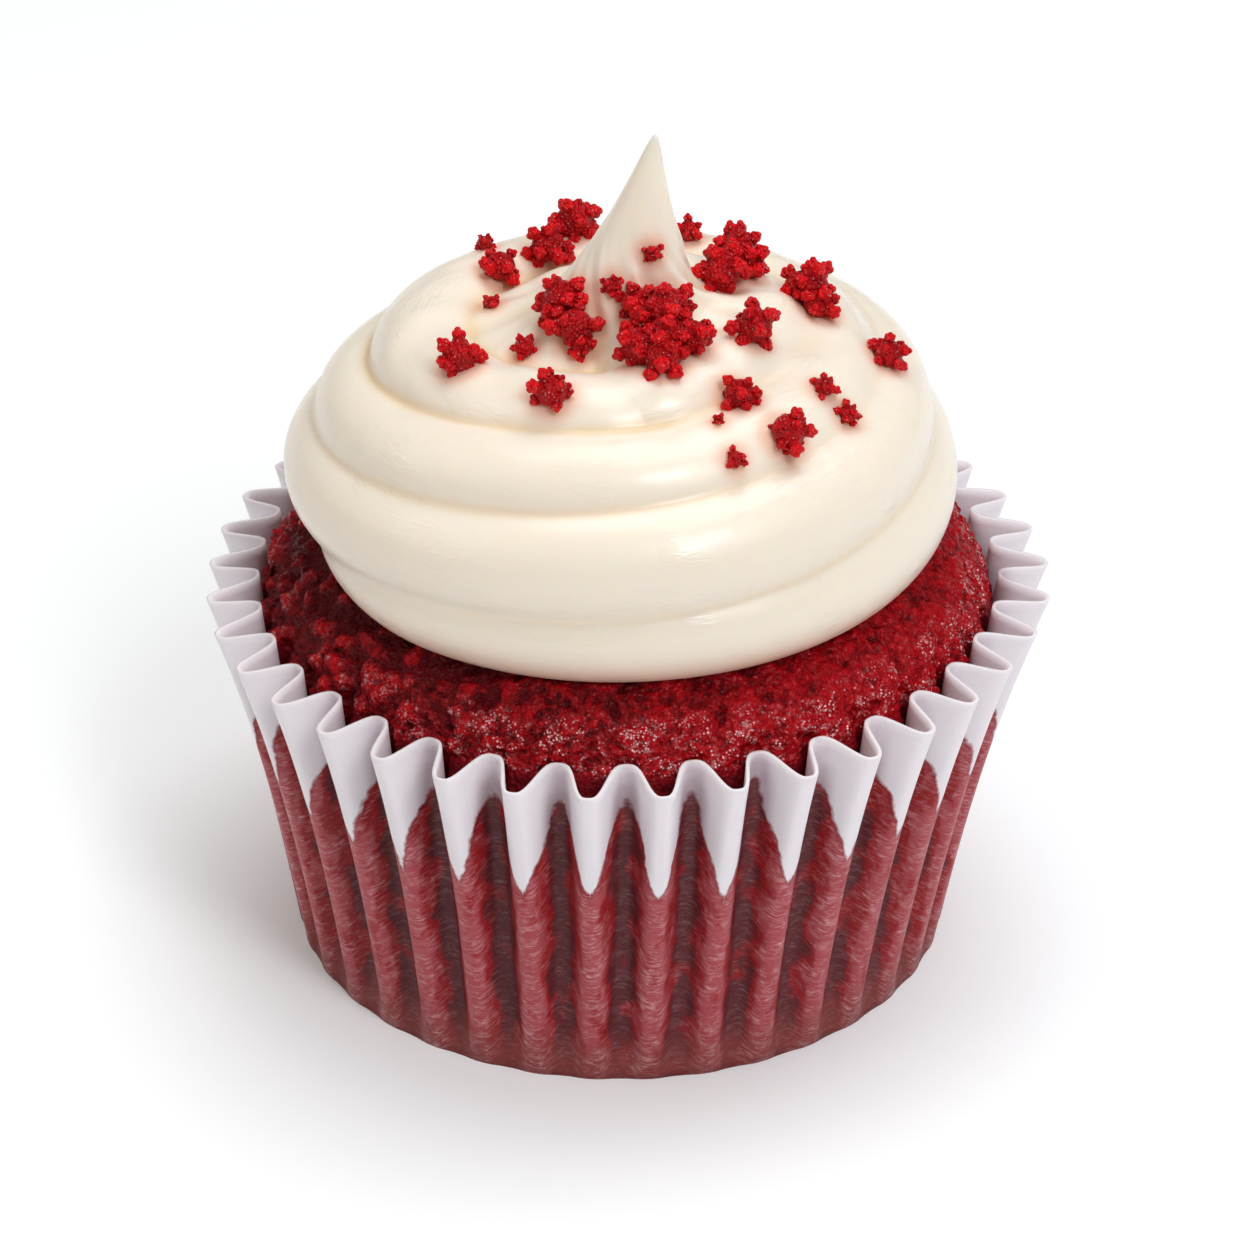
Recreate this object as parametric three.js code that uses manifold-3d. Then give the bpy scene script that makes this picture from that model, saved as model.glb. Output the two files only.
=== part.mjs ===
// A red velvet cupcake: a sponge baked in a fluted paper case, with cream cheese frosting
// piped round its top in a rising spiral that ends in a tall peak, and cake crumbs on top.
// Millimetres, +Z up. The origin is the middle of the case's base, and the front faces -Y.

import * as THREE from "three";
import { mergeVertices } from "three/addons/utils/BufferGeometryUtils.js";
import Module from "manifold-3d";

// ---- Driving dimensions ----

// The clear space left between two pieces that touch.
const GAP = 0.3;

// The paper case: a round of paper pressed into a flat base and a wall of upright folds.
const PAPER = 0.3;
const FOLDS = 37;
const FIRST_FOLD = 158.2;
const CASE_HEIGHT = 34;
const CASE_BASE_REACH = 29.3;
const CASE_SLOPE = 0.17;
const CASE_FLARE = 1.9;
const FLARE_POWER = 3;
const FOLD_DEPTH_BASE = 1.1;
const FOLD_DEPTH_RIM = 4.3;
const FOLD_DEPTH_LIP = 0.9;
const FOLD_LIP_POWER = 6;
const FOOT_FLATTENING = 0.92;
const FOOT_HEIGHT = 2.6;
const FOLD_SQUARENESS = 0.1;
const RIM_WAVE = 0.3;
const CASE_UNEVENNESS = 0.35;
const CASE_SWINGS = [
  { waves: 3, phase: 1 },
  { waves: 7, phase: 2 },
];
const CASE_SKEW = -0.45;
const STEPS_PER_FOLD = 6;
const WALL_LEVELS = [0, 0.42, 0.78, 1];

// The sponge: a low dome over sides that the case has moulded.
const DOME_REACH = 32.3;
const DOME_RISE = 13.2;
const SHOULDER_HEIGHT = 31.4;
const SIDE_SPREAD = 0.235;
const SIDE_CLEARANCE = 0.06;
const CRAG_RELIEF = 0.35;
const CRAG_WAVES = [23, 31];
const CRAG_DRIFTS = [5, -9];
const CAKE_SIDE_LEVELS = [0, 0.16, 0.34, 0.62, 0.82, 1];
const CAKE_DOME_ANGLES = [9, 17, 25, 34, 58];
const CAKE_STEPS_PER_FOLD = 2;

// The frosting: the outline that the nozzle is led along, and the rope that it lays down.
const SWIRL_REACH = 29.3;
const SWIRL_MIDDLE = 43.4;
const SWIRL_RISE = 17.8;
const SWIRL_TUCK = 10.4;
const LIP_ANGLE = -28;
const ROPE_START = -0.34;
const ROPE_END = 3.9;
const ROPE_FADE_IN = 0.24;
const ROPE_FADE_OUT = 0.7;
const FRONT = 270;
const GROOVE_DEPTH = 2.1;
const GROOVE_SOFTNESS = 0.9;
const SMOOTHED_SIDE = 350;
const SMOOTHED_LOW = 0.5;
const SMOOTHED_HIGH = 1.15;
const SMOOTHED_FROM = 49.5;
const SMOOTHED_TO = 53.5;
const SMOOTHED_SPREAD = 0.7;
const PEAK_TOP = 76;
const PEAK_ROOT = 50;
const PEAK_SPREAD = 7;
const PEAK_TIP_REACH = 0.4;
const PEAK_BASE_REACH = 13;
const PEAK_BLEND = 0.6;
const PEAK_LEAN = 2.9;
const LEAN_FROM = 57;
const SWIRL_SHIFT = -0.4;
const SWIRL_COLUMNS = 64;
const SWIRL_RINGS = 27;
const UNDERSIDE_RINGS = 2;
const OUTLINE_STEPS = 80;
const SURFACE_STEPS = 14;

// The levels that the rope climbs to, one after the other, counted in turns from the front:
// how far its middle is from the axis, how high that is, and half its width and height.
const ROPE_SIZES = ["reach", "height", "width", "rise"];
const TURNS = [
  { from: -1, to: -0.5, reach: 24.5, height: 42.2, width: 4.3, rise: 4.2 },
  { from: -0.08, to: 0.42, reach: 23.3, height: 45.1, width: 6.0, rise: 6.7 },
  { from: 0.35, to: 0.75, reach: 23.8, height: 44.8, width: 5.5, rise: 4.6 },
  { from: 0.6, to: 1.02, reach: 23.2, height: 47.2, width: 5.7, rise: 5.6 },
  { from: 0.85, to: 1.35, reach: 21.4, height: 50.8, width: 5.2, rise: 5.2 },
  { from: 1.3, to: 1.68, reach: 22.3, height: 49.8, width: 4.3, rise: 3.4 },
  { from: 1.64, to: 1.95, reach: 20.6, height: 51.6, width: 5.0, rise: 5.0 },
  { from: 1.78, to: 2.2, reach: 17.5, height: 53.8, width: 4.9, rise: 4.4 },
  { from: 2.62, to: 3.18, reach: 11.2, height: 56.3, width: 4.8, rise: 4.4 },
];

// The crumbs, in the order they fall: azimuth in degrees, distance from the axis, width.
const CRUMBS = [
  [287, 8.7, 11.6],
  [9, 16.0, 7.0],
  [34, 11.4, 7.2],
  [207, 6.5, 5.4],
  [104, 18.0, 5.2],
  [309, 22.0, 5.0],
  [327, 12.6, 4.9],
  [116, 15.2, 4.8],
  [232, 7.2, 4.6],
  [213, 16.7, 4.5],
  [16, 8.1, 5.2],
  [248, 16.4, 4.3],
  [136, 14.9, 4.1],
  [355, 22.9, 4.0],
  [305, 16.7, 3.8],
  [71, 17.4, 2.9],
  [212, 9.9, 2.7],
  [242, 7.9, 2.5],
  [247, 4.9, 2.4],
  [328, 22.4, 2.4],
  [327, 20.1, 2.3],
  [129, 19.4, 2.2],
  [295, 22.3, 2.2],
  [158, 12.1, 2.1],
  [288, 3.7, 2.1],
  [295, 18.7, 1.4],
];
const GRAIN = 4.6;
const GRAIN_SMALL = 3;
const GRAIN_CROWDING = 1.25;
const GRAIN_CREASE = 0.7;
const GRAIN_LOBES = [0.95, 1.2];
const GRAIN_SIZES = [0.9, 1.1];
const GRAIN_TURN = 2.4;
const GRAIN_STACK = 0.9;
const GRAIN_SINK = 0.22;
const GRAIN_SEED = 7;
const CORNER_MATCH = 0.1;
const DROP_STEPS = 60;
const DROP_SHARE = 0.8;

// ---- Small helpers ----

const radians = THREE.MathUtils.degToRad;
const lerp = THREE.MathUtils.lerp;
const smoothstep = THREE.MathUtils.smoothstep;

// A row of repeatable random numbers from 0 to 1.
function randomRow(seed) {
  const [multiplier, increment, modulus] = [1664525, 1013904223, 2 ** 32];
  let state = seed;
  return () => {
    state = (state * multiplier + increment) % modulus;
    return state / modulus;
  };
}

// The larger of two values, rounded over where they are within a softness of each other.
function smoothMax(a, b, softness) {
  const overlap = Math.max(softness - Math.abs(a - b), 0) / softness;
  return Math.max(a, b) + (overlap * overlap * softness) / 4;
}

function between([low, high], share) {
  return lerp(low, high, share);
}

function polar(reach, angle, z) {
  return new THREE.Vector3(reach * Math.cos(angle), reach * Math.sin(angle), z);
}

// A closed solid through a stack of rings, each counter-clockwise seen from above, from a
// pole under the first ring to a pole over the last one.
function skin(bottom, rings, top) {
  const sides = rings[0].length;
  const points = [bottom, ...rings.flat(), top];
  const last = points.length - 1;
  const at = (ring, side) => 1 + ring * sides + (side % sides);
  const faces = [];
  for (let side = 0; side < sides; side++) {
    faces.push(0, at(0, side + 1), at(0, side));
    for (let ring = 0; ring + 1 < rings.length; ring++) {
      const [a, b] = [at(ring, side), at(ring, side + 1)];
      const [c, d] = [at(ring + 1, side), at(ring + 1, side + 1)];
      faces.push(a, b, d, a, d, c);
    }
    faces.push(last, at(rings.length - 1, side), at(rings.length - 1, side + 1));
  }
  const geometry = new THREE.BufferGeometry().setFromPoints(points);
  geometry.setIndex(faces);
  return geometry;
}

function ringOf(sides, pointAt) {
  return Array.from({ length: sides }, (_, side) => pointAt((2 * Math.PI * side) / sides));
}

// ---- The paper case ----

// Slow swings of the wall in and out, as paper that has been handled.
function caseSwing(angle, z) {
  const lift = (z / CASE_HEIGHT) ** 2;
  const swings = CASE_SWINGS.map(({ waves, phase }) => Math.sin(waves * angle + phase));
  return (CASE_UNEVENNESS * lift * swings.reduce((a, b) => a + b)) / swings.length;
}

// 1 on the outside of a fold and -1 on its inside.
function foldWave(angle) {
  const phase = FOLDS * (angle - radians(FIRST_FOLD));
  return (Math.cos(phase) - FOLD_SQUARENESS * Math.cos(3 * phase)) / (1 - FOLD_SQUARENESS);
}

// The folds deepen towards the rim and flatten out at the foot.
function foldDepth(z) {
  const rise = z / CASE_HEIGHT;
  const spread = FOLD_DEPTH_RIM - FOLD_DEPTH_LIP - FOLD_DEPTH_BASE;
  const lip = FOLD_DEPTH_LIP * rise ** FOLD_LIP_POWER;
  const flattened = FOOT_FLATTENING * Math.exp(-z / FOOT_HEIGHT);
  return FOLD_DEPTH_BASE + spread * rise + lip - flattened;
}

// The wall's outer face, as a distance from the axis.
function caseReach(angle, z) {
  const flare = CASE_FLARE * (z / CASE_HEIGHT) ** FLARE_POWER;
  const fold = CASE_BASE_REACH + CASE_SLOPE * z + flare;
  return fold - (foldDepth(z) * (1 - foldWave(angle))) / 2 + caseSwing(angle, z);
}

// A point of the wall, stepped in from the outer face at right angles to the folds.
function casePoint(angle, z, inset) {
  const nudge = 1e-3;
  const before = polar(caseReach(angle - nudge, z), angle - nudge, z);
  const after = polar(caseReach(angle + nudge, z), angle + nudge, z);
  const along = after.sub(before).normalize();
  const outward = new THREE.Vector3(along.y, -along.x, 0);
  return skew(polar(caseReach(angle, z), angle, z).addScaledVector(outward, -inset));
}

// The base lies a little to one side of the rim, as pressed paper does.
function skew(point) {
  point.x += CASE_SKEW * (1 - point.z / CASE_HEIGHT);
  return point;
}

function caseWall(inset, floor) {
  const sides = FOLDS * STEPS_PER_FOLD;
  return WALL_LEVELS.map((level) =>
    ringOf(sides, (step) => {
      const angle = step + radians(FIRST_FOLD);
      const edge = CASE_HEIGHT - RIM_WAVE * foldWave(angle);
      return casePoint(angle, lerp(floor, edge, level), inset);
    }),
  );
}

function paperCase() {
  const rings = [...caseWall(0, 0), ...caseWall(PAPER, PAPER).reverse()];
  return skin(new THREE.Vector3(0, 0, 0), rings, new THREE.Vector3(0, 0, PAPER));
}

// ---- The sponge ----

function domeHeight(reach) {
  const share = Math.min(reach / DOME_REACH, 1);
  return SHOULDER_HEIGHT + DOME_RISE * Math.sqrt(1 - share * share);
}

// Crags of the baked crumb, as a repeatable bumpiness from -1 to 1.
function crag(angle, level) {
  const [a, b] = CRAG_WAVES.map((waves, i) => waves * angle + CRAG_DRIFTS[i] * level);
  return Math.sin(a) * Math.cos(b);
}

// The side swells out below the shoulder until the paper holds it back. The paper is thicker
// along the reach where a fold slants, so the sponge keeps a share of the fold's depth clear.
function sideReach(angle, z) {
  const free = DOME_REACH + SIDE_SPREAD * (SHOULDER_HEIGHT - z);
  const slant = (2 / FOLDS + SIDE_CLEARANCE) * foldDepth(z);
  return Math.min(free, caseReach(angle, z) - PAPER - GAP - slant);
}

function cake() {
  const sides = FOLDS * CAKE_STEPS_PER_FOLD;
  const floor = PAPER + GAP;
  const sideRings = CAKE_SIDE_LEVELS.map((level) => {
    const z = lerp(floor, SHOULDER_HEIGHT, level);
    return ringOf(sides, (step) => {
      const angle = step + radians(FIRST_FOLD);
      return skew(polar(sideReach(angle, z), angle, z));
    });
  });
  const domeRings = CAKE_DOME_ANGLES.map((degrees, level) => {
    const tilt = radians(degrees);
    const open = tilt < radians(-LIP_ANGLE);
    return ringOf(sides, (step) => {
      const angle = step + radians(FIRST_FOLD);
      const bump = open ? CRAG_RELIEF * crag(angle, level) : 0;
      const reach = (DOME_REACH + bump) * Math.cos(tilt);
      const held = Math.min(reach, sideReach(angle, SHOULDER_HEIGHT));
      return polar(held, angle, SHOULDER_HEIGHT + (DOME_RISE + bump) * Math.sin(tilt));
    });
  });
  const crown = new THREE.Vector3(0, 0, SHOULDER_HEIGHT + DOME_RISE);
  return skin(new THREE.Vector3(0, 0, floor), [...sideRings, ...domeRings], crown);
}

// ---- The frosting ----

// The peak narrows quickly above its foot, then runs up to a blunt tip.
function peakHeight(reach) {
  const fromTip = Math.hypot(reach, PEAK_TIP_REACH) - PEAK_TIP_REACH;
  return PEAK_ROOT + (PEAK_TOP - PEAK_ROOT) * Math.exp(-fromTip / PEAK_SPREAD);
}

// The rope's middle and half thickness after so many turns from the front.
function ropeAt(turn) {
  const rope = { ...TURNS[0] };
  for (const level of TURNS) {
    const share = smoothstep(turn, level.from, level.to);
    for (const size of ROPE_SIZES) rope[size] = lerp(rope[size], level[size], share);
  }
  const start = smoothstep(turn, ROPE_START, ROPE_START + ROPE_FADE_IN);
  const end = 1 - smoothstep(turn, ROPE_END - ROPE_FADE_OUT, ROPE_END);
  rope.width *= start * end;
  rope.rise *= start * end;
  return rope;
}

// How far a point lies inside the smooth body that the rope is laid round. It comes closer
// to the outside on the side where a palette knife has smoothed the turns together.
function bodyDepth(angle, reach, z) {
  const side = Math.max(Math.cos(angle - radians(SMOOTHED_SIDE)), 0) ** SMOOTHED_SPREAD;
  const height = smoothstep(z, SMOOTHED_FROM, SMOOTHED_TO);
  const inset = GROOVE_DEPTH * (1 - side * lerp(SMOOTHED_LOW, SMOOTHED_HIGH, height));
  const rise = z > SWIRL_MIDDLE ? SWIRL_RISE : SWIRL_TUCK;
  const level = Math.hypot(reach / SWIRL_REACH, (z - SWIRL_MIDDLE) / rise);
  return (1 - level) * rise - inset;
}

// How far a point lies inside the frosting, or outside it where that is negative.
function frostingDepth(angle, reach, z) {
  let depth = bodyDepth(angle, reach, z);
  const part = (angle - radians(FRONT)) / (2 * Math.PI);
  for (let turn = part - Math.floor(part) - 1; turn < ROPE_END; turn += 1) {
    if (turn <= ROPE_START) continue;
    const rope = ropeAt(turn);
    const out = Math.hypot((reach - rope.reach) / rope.width, (z - rope.height) / rope.rise);
    depth = smoothMax(depth, (1 - out) * rope.width, GROOVE_SOFTNESS);
  }
  const inPeak = Math.min((peakHeight(reach) - z) * PEAK_BLEND, PEAK_BASE_REACH - reach);
  return smoothMax(depth, inPeak, 2 * GROOVE_SOFTNESS);
}

// The outline of the whole swirl from its lip to its tip, before the rope shapes it.
function swirlOutline() {
  const points = Array.from({ length: OUTLINE_STEPS + 1 }, (_, step) => {
    const tilt = radians(lerp(LIP_ANGLE, 90, step / OUTLINE_STEPS));
    const rise = tilt > 0 ? SWIRL_RISE : SWIRL_TUCK;
    const reach = SWIRL_REACH * Math.cos(tilt);
    const round = SWIRL_MIDDLE + rise * Math.sin(tilt);
    const underPeak = reach < PEAK_BASE_REACH;
    const z = underPeak ? smoothMax(round, peakHeight(reach), GROOVE_SOFTNESS) : round;
    return new THREE.Vector2(reach, z);
  });
  return new THREE.SplineCurve(points);
}

// The swirl sits a little to one side of the sponge, and its peak leans to the other.
function lean(point) {
  const share = Math.max(point.z - LEAN_FROM, 0) / (PEAK_TOP - LEAN_FROM);
  point.x += SWIRL_SHIFT + PEAK_LEAN * share;
  return point;
}

// Steps from the outline to the real surface along the outline's own normal.
function swirlPoint(outline, share, angle) {
  const base = outline.getPointAt(share);
  const along = outline.getTangentAt(share);
  let offset = 0;
  for (let step = 0; step < SURFACE_STEPS; step++) {
    const reach = base.x + along.y * offset;
    const z = base.y - along.x * offset;
    offset += frostingDepth(angle, Math.abs(reach), z);
  }
  return polar(base.x + along.y * offset, angle, base.y - along.x * offset);
}

function frostingBody() {
  const outline = swirlOutline();
  const outer = Array.from({ length: SWIRL_RINGS }, (_, ring) =>
    ringOf(SWIRL_COLUMNS, (angle) => lean(swirlPoint(outline, ring / SWIRL_RINGS, angle))),
  );
  const lip = outer[0].map((point) => {
    const reach = Math.hypot(point.x, point.y);
    return point.setZ(domeHeight(reach) + GAP);
  });
  const underside = Array.from({ length: UNDERSIDE_RINGS }, (_, ring) => {
    const share = (ring + 1) / (UNDERSIDE_RINGS + 1);
    return lip.map((point) => {
      const inner = point.clone().multiplyScalar(share);
      return inner.setZ(domeHeight(Math.hypot(inner.x, inner.y)) + GAP);
    });
  });
  const middle = new THREE.Vector3(0, 0, domeHeight(0) + GAP);
  const tip = lean(new THREE.Vector3(0, 0, PEAK_TOP));
  return skin(middle, [...underside, ...outer], tip);
}

// ---- The crumbs ----

// A unit ball as one closed mesh with shared corners.
function ball(Shape, detail) {
  const geometry = new Shape(1, detail);
  geometry.deleteAttribute("normal");
  geometry.deleteAttribute("uv");
  return mergeVertices(geometry);
}

function cornersOf(geometry) {
  const position = geometry.getAttribute("position");
  return Array.from({ length: position.count }, (_, i) =>
    new THREE.Vector3().fromBufferAttribute(position, i),
  );
}

// One crumb: blunt lobes of uneven length round a small core, with creases between. It is
// a ball whose main corners are drawn out, twelve of them, or six where it is small.
function grainGeometry(width, random) {
  const Shape = width > GRAIN_SMALL ? THREE.IcosahedronGeometry : THREE.OctahedronGeometry;
  const mainCorners = cornersOf(ball(Shape, 0));
  const grain = ball(Shape, 1);
  const position = grain.getAttribute("position");
  cornersOf(grain).forEach((corner, i) => {
    const isMain = mainCorners.some((main) => main.distanceTo(corner) < CORNER_MATCH);
    const length = isMain ? between(GRAIN_LOBES, random()) : GRAIN_CREASE;
    corner.multiplyScalar((length * width) / 2);
    position.setXYZ(i, corner.x, corner.y, corner.z);
  });
  return grain;
}

// The height of the frosting over a place, found by coming down on it from above.
function frostingTop(angle, reach) {
  let z = PEAK_TOP;
  for (let step = 0; step < DROP_STEPS; step++) {
    z += frostingDepth(angle, reach, z) * DROP_SHARE;
  }
  return z;
}

// A wide crumb is a pile of grains: a ring of them on the frosting and some on top.
function crumbPile([azimuth, reach, width], random) {
  const extra = Math.max(width - GRAIN, 0) / 2;
  const count = Math.max(1, Math.round((width / GRAIN) ** 2 * GRAIN_CROWDING));
  const size = Math.min(width, GRAIN);
  return Array.from({ length: count }, (_, index) => {
    const turn = index * GRAIN_TURN + random();
    const out = extra * Math.sqrt(index / Math.max(count - 1, 1));
    const spot = polar(reach, radians(azimuth), 0).add(polar(out, turn, 0));
    const angle = Math.atan2(spot.y, spot.x);
    const lift = size * GRAIN_SINK + (extra - out) * GRAIN_STACK;
    spot.setZ(frostingTop(angle, Math.hypot(spot.x, spot.y)) + lift);
    const grain = grainGeometry(size * between(GRAIN_SIZES, random()), random);
    grain.rotateX(random() * Math.PI).rotateZ(random() * 2 * Math.PI);
    lean(spot);
    return grain.translate(spot.x, spot.y, spot.z);
  });
}

// ---- Joining ----

const wasm = await Module();
wasm.setup();

function toSolid(geometry) {
  return new wasm.Manifold(
    new wasm.Mesh({
      numProp: 3,
      vertProperties: geometry.getAttribute("position").array,
      triVerts: new Uint32Array(geometry.index.array),
    }),
  );
}

function toGeometry(solid) {
  const mesh = solid.getMesh();
  const geometry = new THREE.BufferGeometry();
  geometry.setAttribute("position", new THREE.BufferAttribute(mesh.vertProperties, 3));
  geometry.setIndex(new THREE.BufferAttribute(mesh.triVerts, 1));
  return geometry;
}

// The outer skin of a fused solid: hollows that fusing has shut are filled by leaving
// their walls out, and loose scraps go too.
function outerBody(solid) {
  return solid.decompose().reduce((a, b) => (a.volume() > b.volume() ? a : b));
}

function frosting() {
  const random = randomRow(GRAIN_SEED);
  const grains = CRUMBS.flatMap((crumb) => crumbPile(crumb, random));
  const fused = grains.reduce((body, grain) => body.add(toSolid(grain)), toSolid(frostingBody()));
  return toGeometry(outerBody(fused));
}

// ---- Materials ----

function greaseproofPaper() {
  return new THREE.MeshStandardMaterial({ color: "#e4e2e6", roughness: 0.55, metalness: 0 });
}

function redVelvetSponge() {
  return new THREE.MeshStandardMaterial({ color: "#8a0f17", roughness: 0.6, metalness: 0 });
}

function creamCheeseFrosting() {
  return new THREE.MeshStandardMaterial({ color: "#f4f0e7", roughness: 0.35, metalness: 0 });
}

// ---- The cupcake ----

function piece(name, geometry, material) {
  const mesh = new THREE.Mesh(geometry, material);
  mesh.name = name;
  return mesh;
}

const group = new THREE.Group();
group.add(piece("paper_case", paperCase(), greaseproofPaper()));
group.add(piece("cake", cake(), redVelvetSponge()));
group.add(piece("frosting", frosting(), creamCheeseFrosting()));

export default group;
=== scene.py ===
"""A red velvet cupcake in its greaseproof case, with piped frosting and cake crumbs on top.

Sizes are named in millimetres on the classes that use them, and meshes are made in metres.
The origin is the middle of the case's base, the front faces -Y and +Z is up.
"""

import logging
import math
from collections.abc import Iterator
from dataclasses import dataclass
from enum import Enum
from typing import Any

import bpy
import numpy as np
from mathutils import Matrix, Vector

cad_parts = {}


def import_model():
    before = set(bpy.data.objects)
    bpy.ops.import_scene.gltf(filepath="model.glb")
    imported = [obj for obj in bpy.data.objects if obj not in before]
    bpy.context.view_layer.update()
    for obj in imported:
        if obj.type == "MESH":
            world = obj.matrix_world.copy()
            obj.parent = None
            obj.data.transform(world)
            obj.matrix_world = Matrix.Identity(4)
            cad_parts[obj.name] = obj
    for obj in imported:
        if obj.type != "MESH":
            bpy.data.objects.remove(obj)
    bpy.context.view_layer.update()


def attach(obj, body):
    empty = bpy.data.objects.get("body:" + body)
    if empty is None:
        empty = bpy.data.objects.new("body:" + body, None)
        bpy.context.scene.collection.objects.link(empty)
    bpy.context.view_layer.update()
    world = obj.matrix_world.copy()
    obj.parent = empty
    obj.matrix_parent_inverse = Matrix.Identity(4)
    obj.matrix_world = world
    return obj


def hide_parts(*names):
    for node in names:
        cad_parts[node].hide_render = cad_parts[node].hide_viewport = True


MM = 0.001
TAU = 2 * math.pi
LOG = logging.getLogger("cupcake")

Array = np.ndarray
Colour = tuple[float, float, float, float]
Piece = bpy.types.Object
Tree = bpy.types.NodeTree
Node = bpy.types.Node
Socket = bpy.types.NodeSocket

# The kinds of node that come back often. A pair also holds the settings that go with it.
PLUS, MINUS, TIMES, OVER, POWER, TIMES_PLUS, LARGER = (
    ("ShaderNodeMath", {"operation": name})
    for name in ("ADD", "SUBTRACT", "MULTIPLY", "DIVIDE", "POWER", "MULTIPLY_ADD", "MAXIMUM")
)
COSINE, SINE, ARCCOSINE, DIRECTION = (
    ("ShaderNodeMath", {"operation": name}) for name in ("COSINE", "SINE", "ARCCOSINE", "ARCTAN2")
)
VECTOR_MINUS, VECTOR_TIMES_PLUS, VECTOR_SCALE, VECTOR_LENGTH = (
    ("ShaderNodeVectorMath", {"operation": name})
    for name in ("SUBTRACT", "MULTIPLY_ADD", "SCALE", "LENGTH")
)
MIX = ("ShaderNodeMix", {"data_type": "RGBA"})
RANGE = "ShaderNodeMapRange"
EASED = (RANGE, {"interpolation_type": "SMOOTHSTEP"})
NOISE = "ShaderNodeTexNoise"
CELLS = "ShaderNodeTexVoronoi"
ROUND_CELLS = (CELLS, {"feature": "SMOOTH_F1"})
MARK = "ShaderNodeAttribute"
SURFACE = "ShaderNodeBsdfPrincipled"
NAMED = ("GeometryNodeInputNamedAttribute", {"data_type": "FLOAT"})
STORE = ("GeometryNodeStoreNamedAttribute", {"data_type": "FLOAT", "domain": "POINT"})
MOVE = "GeometryNodeSetPosition"
SOW = "GeometryNodeInstanceOnPoints"
REAL = "GeometryNodeRealizeInstances"


class Slot(Enum):
    """The finishes that the part's record names."""

    PAPER = "paper"
    SPONGE = "sponge"
    FROSTING = "frosting"


# ---- Numbers ----


def smoothstep(value: Array, low: float, high: float) -> Array:
    """Eases from 0 at low to 1 at high."""
    share = np.clip((value - low) / (high - low), 0.0, 1.0)
    return share * share * (3 - 2 * share)


def smooth_max(a: Array, b: Array, softness: float) -> Array:
    """Gives the larger value, rounded over where both are within a softness of each other."""
    overlap = np.maximum(softness - np.abs(a - b), 0) / softness
    return np.maximum(a, b) + overlap * overlap * softness / 4


def linear(code: str) -> Colour:
    """Turns an sRGB hex colour into Blender's linear one.

    Args:
        code: Six hex digits after a hash sign.

    Returns:
        Red, green, blue and alpha.
    """
    shares = [int(code[i : i + 2], 16) / 255 for i in (1, 3, 5)]
    lit = [c / 12.92 if c <= 0.04045 else ((c + 0.055) / 1.055) ** 2.4 for c in shares]
    return (lit[0], lit[1], lit[2], 1.0)


class RandomRow:
    """A row of repeatable random numbers from 0 to 1."""

    MULTIPLIER, INCREMENT, MODULUS = 1664525, 1013904223, 2**32

    def __init__(self, seed: int) -> None:
        """Starts the row at a seed."""
        self.state = seed

    def draw(self) -> float:
        """Gives the next number."""
        self.state = (self.state * self.MULTIPLIER + self.INCREMENT) % self.MODULUS
        return self.state / self.MODULUS

    def between(self, low: float, high: float) -> float:
        """Gives the next number as one from low to high."""
        return low + (high - low) * self.draw()


# ---- Nodes and meshes ----


def add(tree: Tree, kind: str | tuple[str, Any], *values: Any, **settings: Any) -> Node:
    """Adds one node to a tree.

    Args:
        tree: The material's or modifier's tree.
        kind: The node's type name, alone or with the settings that always go with it.
        values: What its open inputs hold, in order: a node for its first open output, a
            socket or a plain value. One dict holds them by name or number instead.
        settings: Its other settings. As "stops" a ramp takes pairs of place and colour.

    Returns:
        The new node.
    """
    name, usual = (kind, {}) if isinstance(kind, str) else kind
    node = tree.nodes.new(name)
    for key, value in {**usual, **settings}.items():
        if key == "stops":
            ramp = node.color_ramp
            while len(ramp.elements) < len(value):
                ramp.elements.new(1.0)
            for element, (place, colour) in zip(ramp.elements, value):
                element.position, element.color = place, colour
        else:
            setattr(node, key, value)
    if values and isinstance(values[0], dict):
        pairs = [(node.inputs[key], value) for key, value in values[0].items()]
    else:
        pairs = list(zip([socket for socket in node.inputs if socket.enabled], values))
    for socket, value in pairs:
        if isinstance(value, Node):
            value = next(output for output in value.outputs if output.enabled)
        if isinstance(value, Socket):
            tree.links.new(value, socket)
        else:
            socket.default_value = value
    return node


def new_material(name: str) -> tuple[bpy.types.Material, Tree]:
    """Makes an empty node material of a name, and gives it with its tree."""
    material = bpy.data.materials.new(name)
    material.use_nodes = True
    material.node_tree.nodes.clear()
    return material, material.node_tree


def pattern(place: Node | Socket, width: float, **others: float) -> dict[str, Any]:
    """Gives a texture's inputs: its place, its scale from a width in millimetres, and others."""
    return {"Vector": place, "Scale": 1 / (width * MM), **others}


def surface_out(tree: Tree, shader: Node) -> None:
    """Links a shader to the material's surface."""
    add(tree, "ShaderNodeOutputMaterial", {"Surface": shader})


def new_object(name: str, points: Array, faces: list[list[int]]) -> Piece:
    """Makes a smooth-shaded mesh object at the origin.

    Args:
        name: The piece's name.
        points: One row of x, y and z for each vertex, in millimetres.
        faces: The vertex numbers of each face, counter-clockwise from outside.

    Returns:
        The object, linked to the scene.
    """
    mesh = bpy.data.meshes.new(name)
    mesh.from_pydata((points * MM).tolist(), [], faces)
    mesh.shade_smooth()
    made = bpy.data.objects.new(name, mesh)
    bpy.context.scene.collection.objects.link(made)
    return made


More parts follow.
